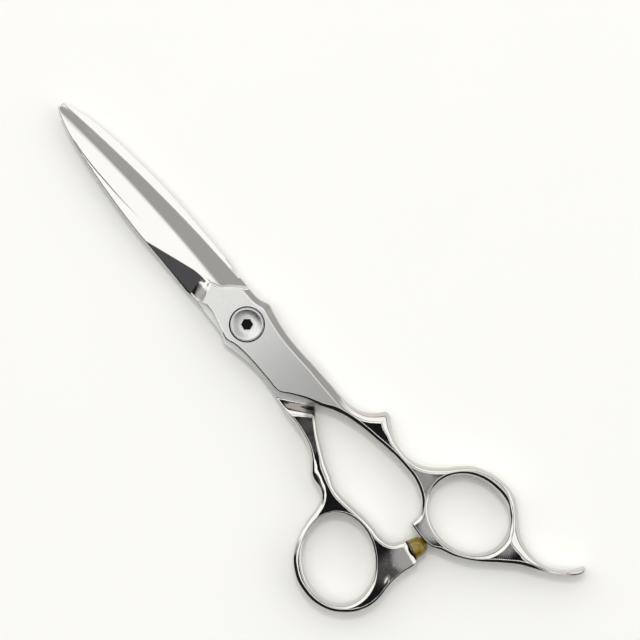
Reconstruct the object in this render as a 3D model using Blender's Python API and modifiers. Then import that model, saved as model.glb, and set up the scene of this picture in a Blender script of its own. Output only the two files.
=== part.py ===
"""Hair cutting shears: two welded halves that turn on a screw with a ball bearing under its head.

The pivot axis is Z, the blade tips point along +X and the thumb ring lies on the +Y side. The finger
half is the upper one. The flat back of the pivot nut lies at z = 0. All sizes are in metres.
"""

import math
from collections import namedtuple

import bmesh
import bpy
from mathutils import Matrix, Vector

Ring = namedtuple("Ring", "x y half_length half_width tilt wall")

# Thicknesses of the two halves
PLATE_THICKNESS = 0.0027
RIDE_GAP = 0.0001
HANDLE_THICKNESS = 0.0055
EDGE_ROUND = 0.00055
EDGE_RISE = 0.0016

# Blades, measured from the pivot
BLADE_LENGTH = 0.0704
EDGE_AT_PIVOT = 0.0058
FINGER_SPINE = 0.00605
THUMB_SPINE = 0.0065
TIP_HALF_WIDTH = 0.00084
SPINE_SWEEP_START = 0.033
SPINE_SWEEP_SHARE = 0.7
SPINE_SWEEP_POWER = 1.6
SPINE_TIP_POWER = 8
HEEL_TAPER_START = 0.0150
RIDGE_SHARE = 0.47
HEEL_CROWN = 0.0021
TIP_CROWN = 0.0010
EDGE_LAND = 0.00012
BEVEL_FULLNESS = 0.00025
SPINE_DROP = 0.0009
SCOOP_START = 0.0325
SCOOP_END = 0.0147
SCOOP_DEPTH = 0.00075
SCOOP_FIRST_SHARE = 0.02
SCOOP_LAST_SHARE = 0.98
LEAF_UNDERCUT = 0.0009

# Pivot plate, as distances from the pivot axis
PLATE_PEAK = 0.0141
PLATE_SHOULDER = 0.0098
PLATE_FRONT_WIDTH = 0.0047
PLATE_HOLLOW = ((0.0105, -0.0018), (0.0087, -0.0034))
PLATE_OUTER_FRONT = 0.0078
PLATE_OUTER_CORNER = 0.0072
PLATE_INNER_CORNER = 0.0063
PLATE_OUTER_SIDE = 0.00595
PLATE_INNER_SIDE = 0.0049
TAIL_CORNER = 0.0164
TAIL_ANGLE = math.radians(32)
TAIL_CLEARANCE = 0.00045
RAMP_RUN = 0.0045
WELD_STATION = 0.0172
WELD_GAP = 0.00004
WELD_OVERRUN = 0.002

# Finger and thumb rings
FINGER_RING = Ring(
    x=-0.0706,
    y=-0.01135,
    half_length=0.0109,
    half_width=0.0092,
    tilt=math.radians(7.5),
    wall=0.0021,
)
THUMB_RING = Ring(
    x=-0.0579,
    y=0.0199,
    half_length=0.0117,
    half_width=0.0094,
    tilt=math.radians(-33.3),
    wall=0.0018,
)
THUMB_NEAR_WALL = 0.0013

# Degrees round each ring, in its own axes, where the outline lies on its outside
FINGER_OUTER_ARC = (-22, -54, -89, -118, -147)
FINGER_STOP_ARC = (122, 96)
FINGER_SHANK_ARC = (45, 26)
THUMB_OUTER_ARC = (24, 54, 83, 108, 132, 160, 191, 214)
THUMB_NEAR_ARC = (-62, -36)

# Finger shank: hollow before the index spur, the spur and the waist behind it
FINGER_HOLLOW = (-0.0312, -0.0064)
FINGER_SPUR = (-0.0388, -0.01185)
FINGER_WAIST = (-0.0485, -0.00865)
FINGER_WAIST_WIDTH = 0.00215
FINGER_SHANK_WIDTH = 0.0030
FINGER_TAIL_END = -0.0290

# Thumb shank: knuckle on its outer side and the waist behind it
THUMB_HOLLOW = (-0.0322, 0.0081)
THUMB_KNUCKLE = (-0.0390, 0.0123)
THUMB_WAIST = (-0.0440, 0.0137)
THUMB_WAIST_WIDTH = 0.0040

# Finger rest, from the far end of the finger ring
REST_OUTER = ((-0.0029, -0.00505), (-0.00925, -0.00615), (-0.0136, -0.01045))
REST_TIP = ((-0.0149, -0.01290), (-0.0160, -0.01215))
REST_INNER = ((-0.0136, -0.0080), (-0.0080, -0.00365), (-0.0008, 0.0021))

# Stop pad on the finger ring, from the centre of its hole
STOP_PAD = 0.0012
STOP_FAR = 0.0005
STOP_NEAR = 0.0069
STOP_SPUR = 0.0009

# Bumper on the arm of the thumb ring
BUMPER_DIAMETER = 0.0053
BUMPER_SIDE = 0.00185
BUMPER_DOME = 0.0022
BUMPER_OFFSET = 0.0022
BUMPER_TILT = math.radians(10.8)
BUMPER_STOP_GAP = 0.00008
BUMPER_SEAT_GAP = 0.00005
ARM_WIDTH = 0.0058
ARM_LENGTH = 0.0042
ARM_ROOT_FLARE = 0.001
ARM_OVERRUN = 0.0011
STUD_DIAMETER = 0.0020
STUD_IN_BUMPER = 0.0018
STUD_IN_ARM = 0.0030
STUD_CLEARANCE = 0.00005

# Pivot: screw, nut, spring washer and ball bearing
HEAD_DIAMETER = 0.0079
HEAD_THICKNESS = 0.0009
HEAD_RIM = 0.0004
HEAD_EDGE_BREAK = 0.0001
HEAD_DISH = 0.00042
HEX_ACROSS_FLATS = 0.0025
HEX_DEPTH = 0.0015
THREAD_DIAMETER = 0.0036
SLEEVE_WALL = 0.00065
FLANGE_DIAMETER = 0.0075
FLANGE_ACROSS_FLATS = 0.0064
FLANGE_THICKNESS = 0.0007
NUT_FLOOR = 0.0005
SPRING_THICKNESS = 0.00022
SPRING_CONE = 0.00012
SEAT_FLOOR = 0.00055
RACE_THICKNESS = 0.00026
BALL_DIAMETER = 0.0007
BALL_COUNT = 8
CAGE_THICKNESS = 0.0004
HEAD_CLEARANCE = 0.00035
RUNNING_CLEARANCE = 0.00004
STACK_CLEARANCE = 0.00003

# Fineness of the round forms
OUTLINE_STEPS = 5
ELLIPSE_STEPS = 44
TURNED_STEPS = 48
POCKET_STEPS = 16
BLADE_STATIONS = 30
BALL_SEGMENTS = 10
MERGE_DISTANCE = 1e-6
SMOOTH_ANGLE = math.radians(35)

# Levels worked out from the sizes above
LOWER_RIDE = PLATE_THICKNESS
UPPER_RIDE = PLATE_THICKNESS + RIDE_GAP
MID_LEVEL = (LOWER_RIDE + UPPER_RIDE) / 2
THREAD_RADIUS = THREAD_DIAMETER / 2
BORE_RADIUS = THREAD_RADIUS + RUNNING_CLEARANCE
SLEEVE_RADIUS = BORE_RADIUS + SLEEVE_WALL
PIVOT_HOLE_RADIUS = SLEEVE_RADIUS + RUNNING_CLEARANCE
RECESS_RADIUS = HEAD_DIAMETER / 2 + HEAD_CLEARANCE
RACE_RADIUS = RECESS_RADIUS - HEAD_CLEARANCE / 2
RECESS_FLOOR = UPPER_RIDE + SEAT_FLOOR
SEAT_RACE_LEVEL = RECESS_FLOOR + STACK_CLEARANCE
BALL_LEVEL = SEAT_RACE_LEVEL + RACE_THICKNESS + STACK_CLEARANCE + BALL_DIAMETER / 2
HEAD_RACE_LEVEL = BALL_LEVEL + BALL_DIAMETER / 2 + STACK_CLEARANCE
HEAD_LEVEL = HEAD_RACE_LEVEL + RACE_THICKNESS + STACK_CLEARANCE
HEAD_TOP = HEAD_LEVEL + HEAD_THICKNESS
SLEEVE_TOP = HEAD_LEVEL - STACK_CLEARANCE
BALL_PITCH = (PIVOT_HOLE_RADIUS + RECESS_RADIUS) / 2
SPRING_LEVEL = FLANGE_THICKNESS + STACK_CLEARANCE
POCKET_DEPTH = SPRING_LEVEL + SPRING_THICKNESS + SPRING_CONE + STACK_CLEARANCE
CUTTER_REACH = BLADE_LENGTH + HANDLE_THICKNESS

# Colour, roughness and metallic value of each finish
POLISHED_STEEL = ((0.62, 0.61, 0.60), 0.12, 1.0)
BEARING_STEEL = ((0.55, 0.56, 0.58), 0.15, 1.0)
SPRING_STEEL = ((0.38, 0.38, 0.40), 0.30, 1.0)
CAGE_BRASS = ((0.70, 0.52, 0.24), 0.35, 1.0)
AMBER_RUBBER = ((0.36, 0.27, 0.06), 0.45, 0.0)


def clear_scene():
    """Removes every object of the open scene."""
    for old in list(bpy.data.objects):
        bpy.data.objects.remove(old, do_unlink=True)


def new_collection(name):
    """A collection under the scene's own one."""
    made = bpy.data.collections.new(name)
    bpy.context.scene.collection.children.link(made)
    return made


def finish_part(part, finish, parent):
    """Gives a part its material, smooth round faces and its parent."""
    colour, roughness, metallic = finish
    surface = bpy.data.materials.new(part.name)
    surface.use_nodes = True
    shader = surface.node_tree.nodes["Principled BSDF"]
    shader.inputs["Base Color"].default_value = (*colour, 1.0)
    shader.inputs["Roughness"].default_value = roughness
    shader.inputs["Metallic"].default_value = metallic
    part.data.materials.clear()
    part.data.materials.append(surface)
    part.data.shade_smooth()
    part.data.set_sharp_from_angle(angle=SMOOTH_ANGLE)
    part.parent = parent


def place(mesh, name, collection, matrix=Matrix.Identity(4)):
    """A named object for a mesh, in a collection."""
    made = bpy.data.objects.new(name, mesh)
    made.matrix_world = matrix
    collection.objects.link(made)
    return made


def as_cutter(helper):
    """Marks an object as a cutting tool, which is no part of the shears."""
    helper.hide_render = True
    helper.display_type = "WIRE"
    return helper


def combine(part, other, operation):
    """Adds a Boolean to a part."""
    modifier = part.modifiers.new(f"{operation.lower()} {other.name}", "BOOLEAN")
    modifier.operation = operation
    modifier.object = other


def smooth(x, y):
    """An outline point that the outline passes smoothly."""
    return x, y, "AUTO"


def corner(x, y):
    """An outline point with a sharp turn."""
    return x, y, "VECTOR"


def add_outline(curve, points):
    """Adds a closed outline through points made by smooth and corner."""
    spline = curve.splines.new("BEZIER")
    spline.bezier_points.add(len(points) - 1)
    spline.use_cyclic_u = True
    for knot, (x, y, turn) in zip(spline.bezier_points, points):
        knot.co = (x, y, 0)
        knot.handle_left_type = turn
        knot.handle_right_type = turn


def add_loop(curve, points):
    """Adds a closed outline with straight steps between the points."""
    spline = curve.splines.new("POLY")
    spline.points.add(len(points) - 1)
    spline.use_cyclic_u = True
    for knot, (x, y) in zip(spline.points, points):
        knot.co = (x, y, 0, 1)


def slab(name, thickness, outline=(), loops=(), edge_round=0.0, edge_rise=0.0):
    """A mesh of an outline of the given thickness about z = 0, its edges rounded in an elliptic arc."""
    curve = bpy.data.curves.new(name, "CURVE")
    curve.dimensions = "2D"
    curve.fill_mode = "BOTH"
    curve.resolution_u = OUTLINE_STEPS
    stretch = edge_rise / edge_round if edge_round else 1.0
    curve.extrude = (thickness / 2 - edge_rise) / stretch
    curve.bevel_depth = edge_round
    curve.bevel_resolution = 1
    curve.offset = -edge_round
    if outline:
        add_outline(curve, outline)
    for points in loops:
        add_loop(curve, points)
    holder = bpy.data.objects.new(name, curve)
    bpy.context.scene.collection.objects.link(holder)
    graph = bpy.context.evaluated_depsgraph_get()
    mesh = bpy.data.meshes.new_from_object(holder.evaluated_get(graph))
    bpy.data.objects.remove(holder)
    shape = bmesh.new()
    shape.from_mesh(mesh)
    bmesh.ops.scale(shape, vec=(1, 1, stretch), verts=shape.verts)
    bmesh.ops.remove_doubles(shape, verts=shape.verts, dist=MERGE_DISTANCE)
    bmesh.ops.recalc_face_normals(shape, faces=shape.faces)
    shape.to_mesh(mesh)
    shape.free()
    return mesh


def skin(name, rings):
    """A closed mesh over rings of as many points each, from the first ring to the last."""
    shape = bmesh.new()
    rows = [[shape.verts.new(point) for point in ring] for ring in rings]
    for row, following in zip(rows, rows[1:]):
        for i in range(len(row)):
            shape.faces.new((row[i - 1], row[i], following[i], following[i - 1]))
    shape.faces.new(rows[0])
    shape.faces.new(reversed(rows[-1]))
    bmesh.ops.recalc_face_normals(shape, faces=shape.faces)
    mesh = bpy.data.meshes.new(name)
    shape.to_mesh(mesh)
    shape.free()
    return mesh


def box(name, low, high):
    """A mesh of a box between two corners."""
    size = Vector(high) - Vector(low)
    centre = (Vector(high) + Vector(low)) / 2
    frame = Matrix.Translation(centre) @ Matrix.Diagonal((*size, 1))
    shape = bmesh.new()
    bmesh.ops.create_cube(shape, size=1.0, matrix=frame)
    mesh = bpy.data.meshes.new(name)
    shape.to_mesh(mesh)
    shape.free()
    return mesh


def rod(name, radius, low, high, sides=TURNED_STEPS):
    """A mesh of a cylinder, or a prism with few sides, along Z between two levels."""
    shape = bmesh.new()
    bmesh.ops.create_cone(
        shape,
        cap_ends=True,
        segments=sides,
        radius1=radius,
        radius2=radius,
        depth=high - low,
        matrix=Matrix.Translation((0, 0, (low + high) / 2)),
    )
    mesh = bpy.data.meshes.new(name)
    shape.to_mesh(mesh)
    shape.free()
    return mesh


def turned(name, profile, collection, matrix=Matrix.Identity(4)):
    """An object turned about Z from (radius, z) points that run down its outer side."""
    mesh = bpy.data.meshes.new(name)
    count = len(profile)
    closed = profile[0][0] > 0 or profile[-1][0] > 0
    edges = [(i, i + 1) for i in range(count - 1)]
    if closed:
        edges.append((count - 1, 0))
    mesh.from_pydata([(radius, 0, z) for radius, z in profile], edges, [])
    made = place(mesh, name, collection, matrix)
    screw = made.modifiers.new("turn", "SCREW")
    screw.steps = TURNED_STEPS
    screw.render_steps = TURNED_STEPS
    screw.use_merge_vertices = True
    screw.merge_threshold = MERGE_DISTANCE
    return made


def washer_profile(inner, outer, low, high):
    """The closed profile of a flat ring."""
    return [(outer, high), (outer, low), (inner, low), (inner, high)]


def ring_point(ring, degrees, wall=0.0):
    """A point of a ring's hole, or of its outside at the given wall, at an angle in the ring's own axes."""
    along = (ring.half_length + wall) * math.cos(math.radians(degrees))
    across = (ring.half_width + wall) * math.sin(math.radians(degrees))
    turn_cos, turn_sin = math.cos(ring.tilt), math.sin(ring.tilt)
    return ring.x + along * turn_cos - across * turn_sin, ring.y + along * turn_sin + across * turn_cos


def ring_hole(ring):
    """The hole of a ring as a loop."""
    return [ring_point(ring, 360 * i / ELLIPSE_STEPS) for i in range(ELLIPSE_STEPS)]


def ring_arc(ring, angles, wall):
    """Outline points on the outside of a ring."""
    return [smooth(*ring_point(ring, degrees, wall)) for degrees in angles]


def tail_point(x):
    """Where the slanted tail edge of the finger half passes a station."""
    return x, PLATE_INNER_SIDE + (x + TAIL_CORNER) * math.tan(TAIL_ANGLE)


def stop_level():
    """The y of the flat stop face on the finger ring."""
    return FINGER_RING.y + FINGER_RING.half_width + FINGER_RING.wall + STOP_PAD


def bumper_axis():
    """The way the bumper points, from the arm to the stop face."""
    return Vector((-math.sin(BUMPER_TILT), -math.cos(BUMPER_TILT), 0))


def bumper_base():
    """The middle of the bumper's flat base, with its dome just off the stop face."""
    reach = math.hypot(BUMPER_DIAMETER / 2 * math.sin(BUMPER_TILT), BUMPER_DOME * math.cos(BUMPER_TILT))
    centre = Vector((FINGER_RING.x + BUMPER_OFFSET, stop_level() + BUMPER_STOP_GAP + reach, MID_LEVEL))
    return centre - bumper_axis() * BUMPER_SIDE


def bumper_matrix():
    """The frame of the bumper: its base at the origin and its dome along +Z."""
    turn = Vector((0, 0, 1)).rotation_difference(bumper_axis())
    return Matrix.Translation(bumper_base()) @ turn.to_matrix().to_4x4()


def plate_outline():
    """The pivot plate of the finger half, drawn past the weld."""
    past_weld = -WELD_STATION - WELD_OVERRUN
    middle = -TAIL_CORNER / 2
    quarter = middle / 2
    front = [
        corner(PLATE_PEAK, 0.0),
        smooth(PLATE_SHOULDER, PLATE_FRONT_WIDTH),
        smooth(PLATE_SHOULDER / 3, (PLATE_FRONT_WIDTH + PLATE_INNER_CORNER) / 2),
    ]
    sides = [
        corner(0.0, PLATE_INNER_CORNER),
        smooth(quarter, PLATE_INNER_SIDE),
        smooth(middle, PLATE_INNER_SIDE),
        corner(-TAIL_CORNER, PLATE_INNER_SIDE),
        corner(*tail_point(past_weld)),
        corner(past_weld, -PLATE_OUTER_SIDE),
        smooth(middle, -PLATE_OUTER_SIDE),
        smooth(quarter, -(PLATE_OUTER_SIDE + PLATE_OUTER_CORNER) / 2),
        corner(0.0, -PLATE_OUTER_CORNER),
        smooth(PLATE_OUTER_FRONT / 2, -PLATE_OUTER_SIDE),
        corner(PLATE_OUTER_FRONT, -PLATE_OUTER_SIDE),
    ]
    hollow = [smooth(x, y) for x, y in reversed(PLATE_HOLLOW)]
    return front + sides + hollow


def finger_handle_outline():
    """The finger half's handle, drawn from before the weld, round the ring and the rest, and back."""
    before_weld = -WELD_STATION + WELD_OVERRUN
    rest_x = FINGER_RING.x - FINGER_RING.half_length - FINGER_RING.wall
    rest_y = FINGER_RING.y
    stop = stop_level()
    waist_x, waist_y = FINGER_WAIST
    hollow_x, hollow_y = FINGER_HOLLOW
    outer = [
        corner(before_weld, -PLATE_OUTER_SIDE),
        smooth((hollow_x - WELD_STATION) / 2, (hollow_y - PLATE_OUTER_SIDE) / 2),
        smooth(hollow_x, hollow_y),
        smooth(*FINGER_SPUR),
        smooth(waist_x, waist_y),
    ]
    ring_outer = ring_arc(FINGER_RING, FINGER_OUTER_ARC, FINGER_RING.wall)
    rest = [smooth(rest_x + x, rest_y + y) for x, y in REST_OUTER]
    rest += [corner(rest_x + x, rest_y + y) for x, y in REST_TIP]
    rest += [smooth(rest_x + x, rest_y + y) for x, y in REST_INNER]
    ring_inner = ring_arc(FINGER_RING, FINGER_STOP_ARC, FINGER_RING.wall)
    pad = [
        corner(FINGER_RING.x + STOP_FAR, stop),
        corner(FINGER_RING.x + STOP_NEAR, stop),
        smooth(FINGER_RING.x + STOP_NEAR + STOP_SPUR, stop),
    ]
    inner = ring_arc(FINGER_RING, FINGER_SHANK_ARC, FINGER_RING.wall)
    inner += [
        smooth(waist_x, waist_y + FINGER_WAIST_WIDTH),
        smooth((waist_x + hollow_x) / 2, waist_y + FINGER_SHANK_WIDTH),
        smooth(*tail_point(FINGER_TAIL_END)),
        corner(*tail_point(before_weld)),
    ]
    return outer + ring_outer + rest + ring_inner + pad + inner


def thumb_handle_outline():
    """The thumb half's handle, drawn from before the weld, round the ring and the bumper arm, and back."""
    before_weld = -WELD_STATION + WELD_OVERRUN
    waist_x, waist_y = THUMB_WAIST
    hollow_x, hollow_y = THUMB_HOLLOW
    axis, base = bumper_axis(), bumper_base()
    across = Vector((axis.y, -axis.x, 0))
    half = across * (ARM_WIDTH / 2)
    end = base + axis * ARM_OVERRUN
    root = base - axis * ARM_LENGTH
    outer = [
        corner(before_weld, PLATE_OUTER_SIDE),
        smooth((hollow_x - WELD_STATION) / 2, (hollow_y + PLATE_OUTER_SIDE) / 2),
        smooth(hollow_x, hollow_y),
        smooth(*THUMB_KNUCKLE),
        smooth(waist_x, waist_y),
    ]
    ring_outer = ring_arc(THUMB_RING, THUMB_OUTER_ARC, THUMB_RING.wall)
    arm = [
        smooth(*(root + half).xy),
        corner(*(end + half).xy),
        corner(*(end - half).xy),
        smooth(*(root - half - across * ARM_ROOT_FLARE).xy),
    ]
    inner = ring_arc(THUMB_RING, THUMB_NEAR_ARC, THUMB_NEAR_WALL)
    tail_x, tail_y = tail_point(hollow_x)
    inner += [
        smooth(waist_x, waist_y - THUMB_WAIST_WIDTH),
        smooth(tail_x, -tail_y),
        corner(before_weld, -tail_point(before_weld)[1]),
    ]
    return outer + ring_outer + arm + inner


def blade_section(x, spine_width):
    """The section of the finger blade at a station, from under its edge over its crown to its spine."""
    along = x / BLADE_LENGTH
    edge = (EDGE_AT_PIVOT - TIP_HALF_WIDTH) * along**2 - EDGE_AT_PIVOT
    past = max(0.0, (x - SPINE_SWEEP_START) / (BLADE_LENGTH - SPINE_SWEEP_START))
    sweep = SPINE_SWEEP_SHARE * past**SPINE_SWEEP_POWER + (1 - SPINE_SWEEP_SHARE) * past**SPINE_TIP_POWER
    spine = spine_width - (spine_width - TIP_HALF_WIDTH) * sweep
    tapered = min(1.0, max(0.0, (HEEL_TAPER_START - x) / (HEEL_TAPER_START - PLATE_SHOULDER)))
    spine -= (spine - PLATE_FRONT_WIDTH) * tapered**2
    crown =HEEL_CROWN + (TIP_CROWN - HEEL_CROWN) * along
    ridge = edge + (spine - edge) * RIDGE_SHARE
    spine_height = crown - SPINE_DROP * (spine - ridge) / spine_width
    scooped = min(1.0, max(0.0, (SCOOP_START - x) / (SCOOP_START - SCOOP_END)))
    scoop_share = SCOOP_FIRST_SHARE + (SCOOP_LAST_SHARE - SCOOP_FIRST_SHARE) * scooped
    scoop = spine + (ridge - spine) * scoop_share
    scoop_height = crown + (spine_height - crown) * (scoop - ridge) / (spine - ridge)
    bevel = (edge + ridge) / 2
    bevel_height = (EDGE_LAND + crown) / 2 + BEVEL_FULLNESS * (ridge - edge) / EDGE_AT_PIVOT
    heights = [
        (edge, -LEAF_UNDERCUT),
        (edge, EDGE_LAND),
        (bevel, bevel_height),
        (ridge, crown),
        (scoop, scoop_height),
        (spine, spine_height - SCOOP_DEPTH * scooped),
        (spine, -LEAF_UNDERCUT),
    ]
    return [(x, y, UPPER_RIDE + height) for y, height in heights]


def blade_mesh(name, spine_width):
    """A blade of the finger half, from inside the pivot plate to the tip."""
    heel = PLATE_SHOULDER / 2
    span = BLADE_LENGTH - heel
    stations = [heel + span * i / BLADE_STATIONS for i in range(BLADE_STATIONS + 1)]
    return skin(name, [blade_section(x, spine_width) for x in stations])


def turn_over(mesh):
    """Turns a mesh of the finger half over into the same part of the thumb half."""
    half_turn = Matrix.Rotation(math.pi, 4, "X")
    mesh.transform(Matrix.Translation((0, 0, 2 * MID_LEVEL)) @ half_turn)
    return mesh


def make_blade(name, spine_width, parts, cutters):
    """One blade with its pivot plate, as the finger half holds it, before any hole is cut."""
    outline = plate_outline()
    mesh = slab(name, 2 * PLATE_THICKNESS, outline, edge_round=EDGE_ROUND, edge_rise=EDGE_RISE)
    mesh.transform(Matrix.Translation((0, 0, UPPER_RIDE)))
    plate = place(mesh, name, parts)
    reach = CUTTER_REACH
    below = box(f"{name} below", (-reach, -reach, UPPER_RIDE - reach), (reach, reach, UPPER_RIDE))
    behind = box(f"{name} behind", (-reach, -reach, -reach), (WELD_GAP / 2 - WELD_STATION, reach, reach))
    leaf = blade_mesh(f"{name} leaf", spine_width)
    combine(plate, as_cutter(place(leaf, leaf.name, cutters)), "UNION")
    for tool in (below, behind):
        combine(plate, as_cutter(place(tool, tool.name, cutters)), "DIFFERENCE")
    return plate


def settle(part):
    """Replaces a part's mesh with its evaluated one and drops its modifiers."""
    graph = bpy.context.evaluated_depsgraph_get()
    mesh = bpy.data.meshes.new_from_object(part.evaluated_get(graph))
    part.modifiers.clear()
    part.data = mesh


def finger_blade(parts, cutters):
    """The upper blade, with a recess for the screw's head and bearing."""
    made = make_blade("finger_blade", FINGER_SPINE, parts, cutters)
    above = HEAD_TOP + HANDLE_THICKNESS
    recess = rod("head recess", RECESS_RADIUS, RECESS_FLOOR, above)
    hole = rod("finger pivot hole", PIVOT_HOLE_RADIUS, -above, above)
    for tool in (recess, hole):
        combine(made, as_cutter(place(tool, tool.name, cutters)), "DIFFERENCE")
    return made


def flange_outline(radius, across_flats):
    """A round flange with two flats, as a loop."""
    flat = math.acos(across_flats / 2 / radius)
    turns = TURNED_STEPS // 4
    sweep = math.pi - 2 * flat
    half = [flat + sweep * i / turns for i in range(turns + 1)]
    angles = half + [angle + math.pi for angle in half]
    return [(radius * math.cos(angle), radius * math.sin(angle)) for angle in angles]


def flange_slab(name, grow, low, high):
    """The nut's flange, or its pocket where it is grown by a clearance, between two levels."""
    loop = flange_outline(FLANGE_DIAMETER / 2 + grow, FLANGE_ACROSS_FLATS + 2 * grow)
    mesh = slab(name, high - low, loops=[loop])
    mesh.transform(Matrix.Translation((0, 0, (low + high) / 2)))
    return mesh


def thumb_blade(parts, cutters):
    """The lower blade, with a pocket for the nut's flange."""
    made = make_blade("thumb_blade", THUMB_SPINE, parts, cutters)
    settle(made)
    turn_over(made.data)
    pocket = flange_slab("flange pocket", RUNNING_CLEARANCE, -POCKET_DEPTH, POCKET_DEPTH)
    hole = rod("thumb pivot hole", PIVOT_HOLE_RADIUS, -CUTTER_REACH, CUTTER_REACH)
    for tool in (pocket, hole):
        combine(made, as_cutter(place(tool, tool.name, cutters)), "DIFFERENCE")
    return made


def ramp_cutter(name, upper, cutters):
    """Cuts a handle back to its own half beside the other half's tail, behind a hollow ramp."""
    rise = HANDLE_THICKNESS
    turns = OUTLINE_STEPS * 2
    quarter = [math.pi / 2 * i / turns for i in range(turns + 1)]
    ramp = [(RAMP_RUN * math.sin(a), HANDLE_THICKNESS / 2 * (1 - math.cos(a))) for a in quarter]
    ahead = -CUTTER_REACH
    loop = [(ahead, 0.0)] + ramp + [(RAMP_RUN, rise), (ahead, rise)]
    mesh = slab(name, 2 * CUTTER_REACH, loops=[loop])
    side = -1 if upper else 1
    across = Vector((-math.sin(TAIL_ANGLE), side * math.cos(TAIL_ANGLE), 0))
    up = Vector((0, 0, side))
    along = across.cross(up)
    foot = Vector((-TAIL_CORNER, side * PLATE_INNER_SIDE, UPPER_RIDE if upper else LOWER_RIDE))
    foot += across * TAIL_CLEARANCE
    matrix = Matrix((across, up, along)).transposed().to_4x4()
    matrix.translation = foot
    mesh.transform(matrix)
    return as_cutter(place(mesh, name, cutters))


def make_handle(name, outline, hole, upper, parts, cutters):
    """One handle as a rounded slab, cut at the weld and beside the other half's tail."""
    mesh = slab(
        name,
        HANDLE_THICKNESS,
        outline,
        loops=[ring_hole(hole)],
        edge_round=EDGE_ROUND,
        edge_rise=EDGE_RISE,
    )
    mesh.transform(Matrix.Translation((0, 0, MID_LEVEL)))
    made = place(mesh, name, parts)
    reach = CUTTER_REACH
    ahead = box(f"{name} ahead", (-WELD_GAP / 2 - WELD_STATION, -reach, -reach), (reach, reach, reach))
    combine(made, as_cutter(place(ahead, ahead.name, cutters)), "DIFFERENCE")
    combine(made, ramp_cutter(f"{name} ramp", upper, cutters), "DIFFERENCE")
    return made


def finger_handle(parts, cutters):
    """The upper handle: shank with index spur, finger ring, stop pad and finger rest."""
    return make_handle("finger_handle", finger_handle_outline(), FINGER_RING, True, parts, cutters)


def thumb_handle(parts, cutters):
    """The lower handle: shank, thumb ring and the arm that carries the bumper."""
    made = make_handle("thumb_handle", thumb_handle_outline(), THUMB_RING, False, parts, cutters)
    reach = ARM_WIDTH
    end = box("arm end", (-reach, -reach, 0), (reach, reach, reach / 2))
    combine(made, as_cutter(place(end, "arm end", cutters, bumper_matrix())), "DIFFERENCE")
    bore = rod("stud bore", STUD_DIAMETER / 2 + STUD_CLEARANCE, -STUD_IN_ARM - STUD_CLEARANCE, STUD_IN_ARM)
    combine(made, as_cutter(place(bore, "stud bore", cutters, bumper_matrix())), "DIFFERENCE")
    return made


def bumper(parts):
    """The moulded rubber dome, with a blind hole for its stud."""
    radius = BUMPER_DIAMETER / 2
    turns = TURNED_STEPS // 6
    quarter = [math.pi / 2 * i / turns for i in range(turns + 1)]
    dome = [(radius * math.sin(a), BUMPER_SIDE + BUMPER_DOME * math.cos(a)) for a in quarter]
    hole = STUD_DIAMETER / 2 + STUD_CLEARANCE
    depth = STUD_IN_BUMPER + STUD_CLEARANCE
    base = [(radius, BUMPER_SEAT_GAP), (hole, BUMPER_SEAT_GAP), (hole, depth), (0.0, depth)]
    return turned("bumper", dome + base, parts, bumper_matrix())


def bumper_stud(parts):
    """The steel stud that holds the bumper on its arm."""
    radius = STUD_DIAMETER / 2
    profile = [(0.0, STUD_IN_BUMPER), (radius, STUD_IN_BUMPER), (radius, -STUD_IN_ARM), (0.0, -STUD_IN_ARM)]
    return turned("bumper_stud", profile, parts, bumper_matrix())


def pivot_screw(parts, cutters):
    """The tension screw: dished round head with a hex socket, on a threaded shank."""
    radius = HEAD_DIAMETER / 2
    rim = radius - HEAD_RIM
    bowl = HEX_ACROSS_FLATS / math.sqrt(3)
    bottom = HEAD_TOP - HEAD_DISH
    turns = TURNED_STEPS // 8
    dish = []
    for i in range(turns + 1):
        share = i / turns
        dish.append((bowl + (rim - bowl) * share, bottom + HEAD_DISH * share**2))
    shank_end = NUT_FLOOR + STACK_CLEARANCE
    profile = [(0.0, bottom)] + dish
    profile += [(radius, HEAD_TOP - HEAD_EDGE_BREAK), (radius, HEAD_LEVEL)]
    profile += [(THREAD_RADIUS, HEAD_LEVEL), (THREAD_RADIUS, shank_end), (0.0, shank_end)]
    made = turned("pivot_screw", profile, parts)
    socket = rod("hex socket", HEX_ACROSS_FLATS / math.sqrt(3), bottom - HEX_DEPTH, HEAD_TOP, sides=6)
    combine(made, as_cutter(place(socket, "hex socket", cutters)), "DIFFERENCE")
    return made


def back_nut(parts, cutters):
    """The flanged nut: flush flat back, two flats against turning, and a sleeve that both halves ride on."""
    made = place(flange_slab("back_nut", 0.0, 0.0, FLANGE_THICKNESS), "back_nut", parts)
    sleeve = rod("sleeve", SLEEVE_RADIUS, FLANGE_THICKNESS / 2, SLEEVE_TOP)
    bore = rod("thread bore", BORE_RADIUS, NUT_FLOOR, HEAD_TOP)
    combine(made, as_cutter(place(sleeve, "sleeve", cutters)), "UNION")
    combine(made, as_cutter(place(bore, "thread bore", cutters)), "DIFFERENCE")
    return made


def spring_washer(parts):
    """The cone spring between the nut's flange and the thumb blade."""
    inner = PIVOT_HOLE_RADIUS + RUNNING_CLEARANCE
    outer = FLANGE_ACROSS_FLATS / 2 - RUNNING_CLEARANCE
    low, high = SPRING_LEVEL, SPRING_LEVEL + SPRING_THICKNESS
    raised = SPRING_CONE
    profile = [(outer, high), (outer, low), (inner, low + raised), (inner, high + raised)]
    return turned("spring_washer", profile, parts)


def bearing_race(name, level, parts):
    """A flat hard washer that the balls roll on."""
    inner = PIVOT_HOLE_RADIUS + RUNNING_CLEARANCE
    return turned(name, washer_profile(inner, RACE_RADIUS, level, level + RACE_THICKNESS), parts)


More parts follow.
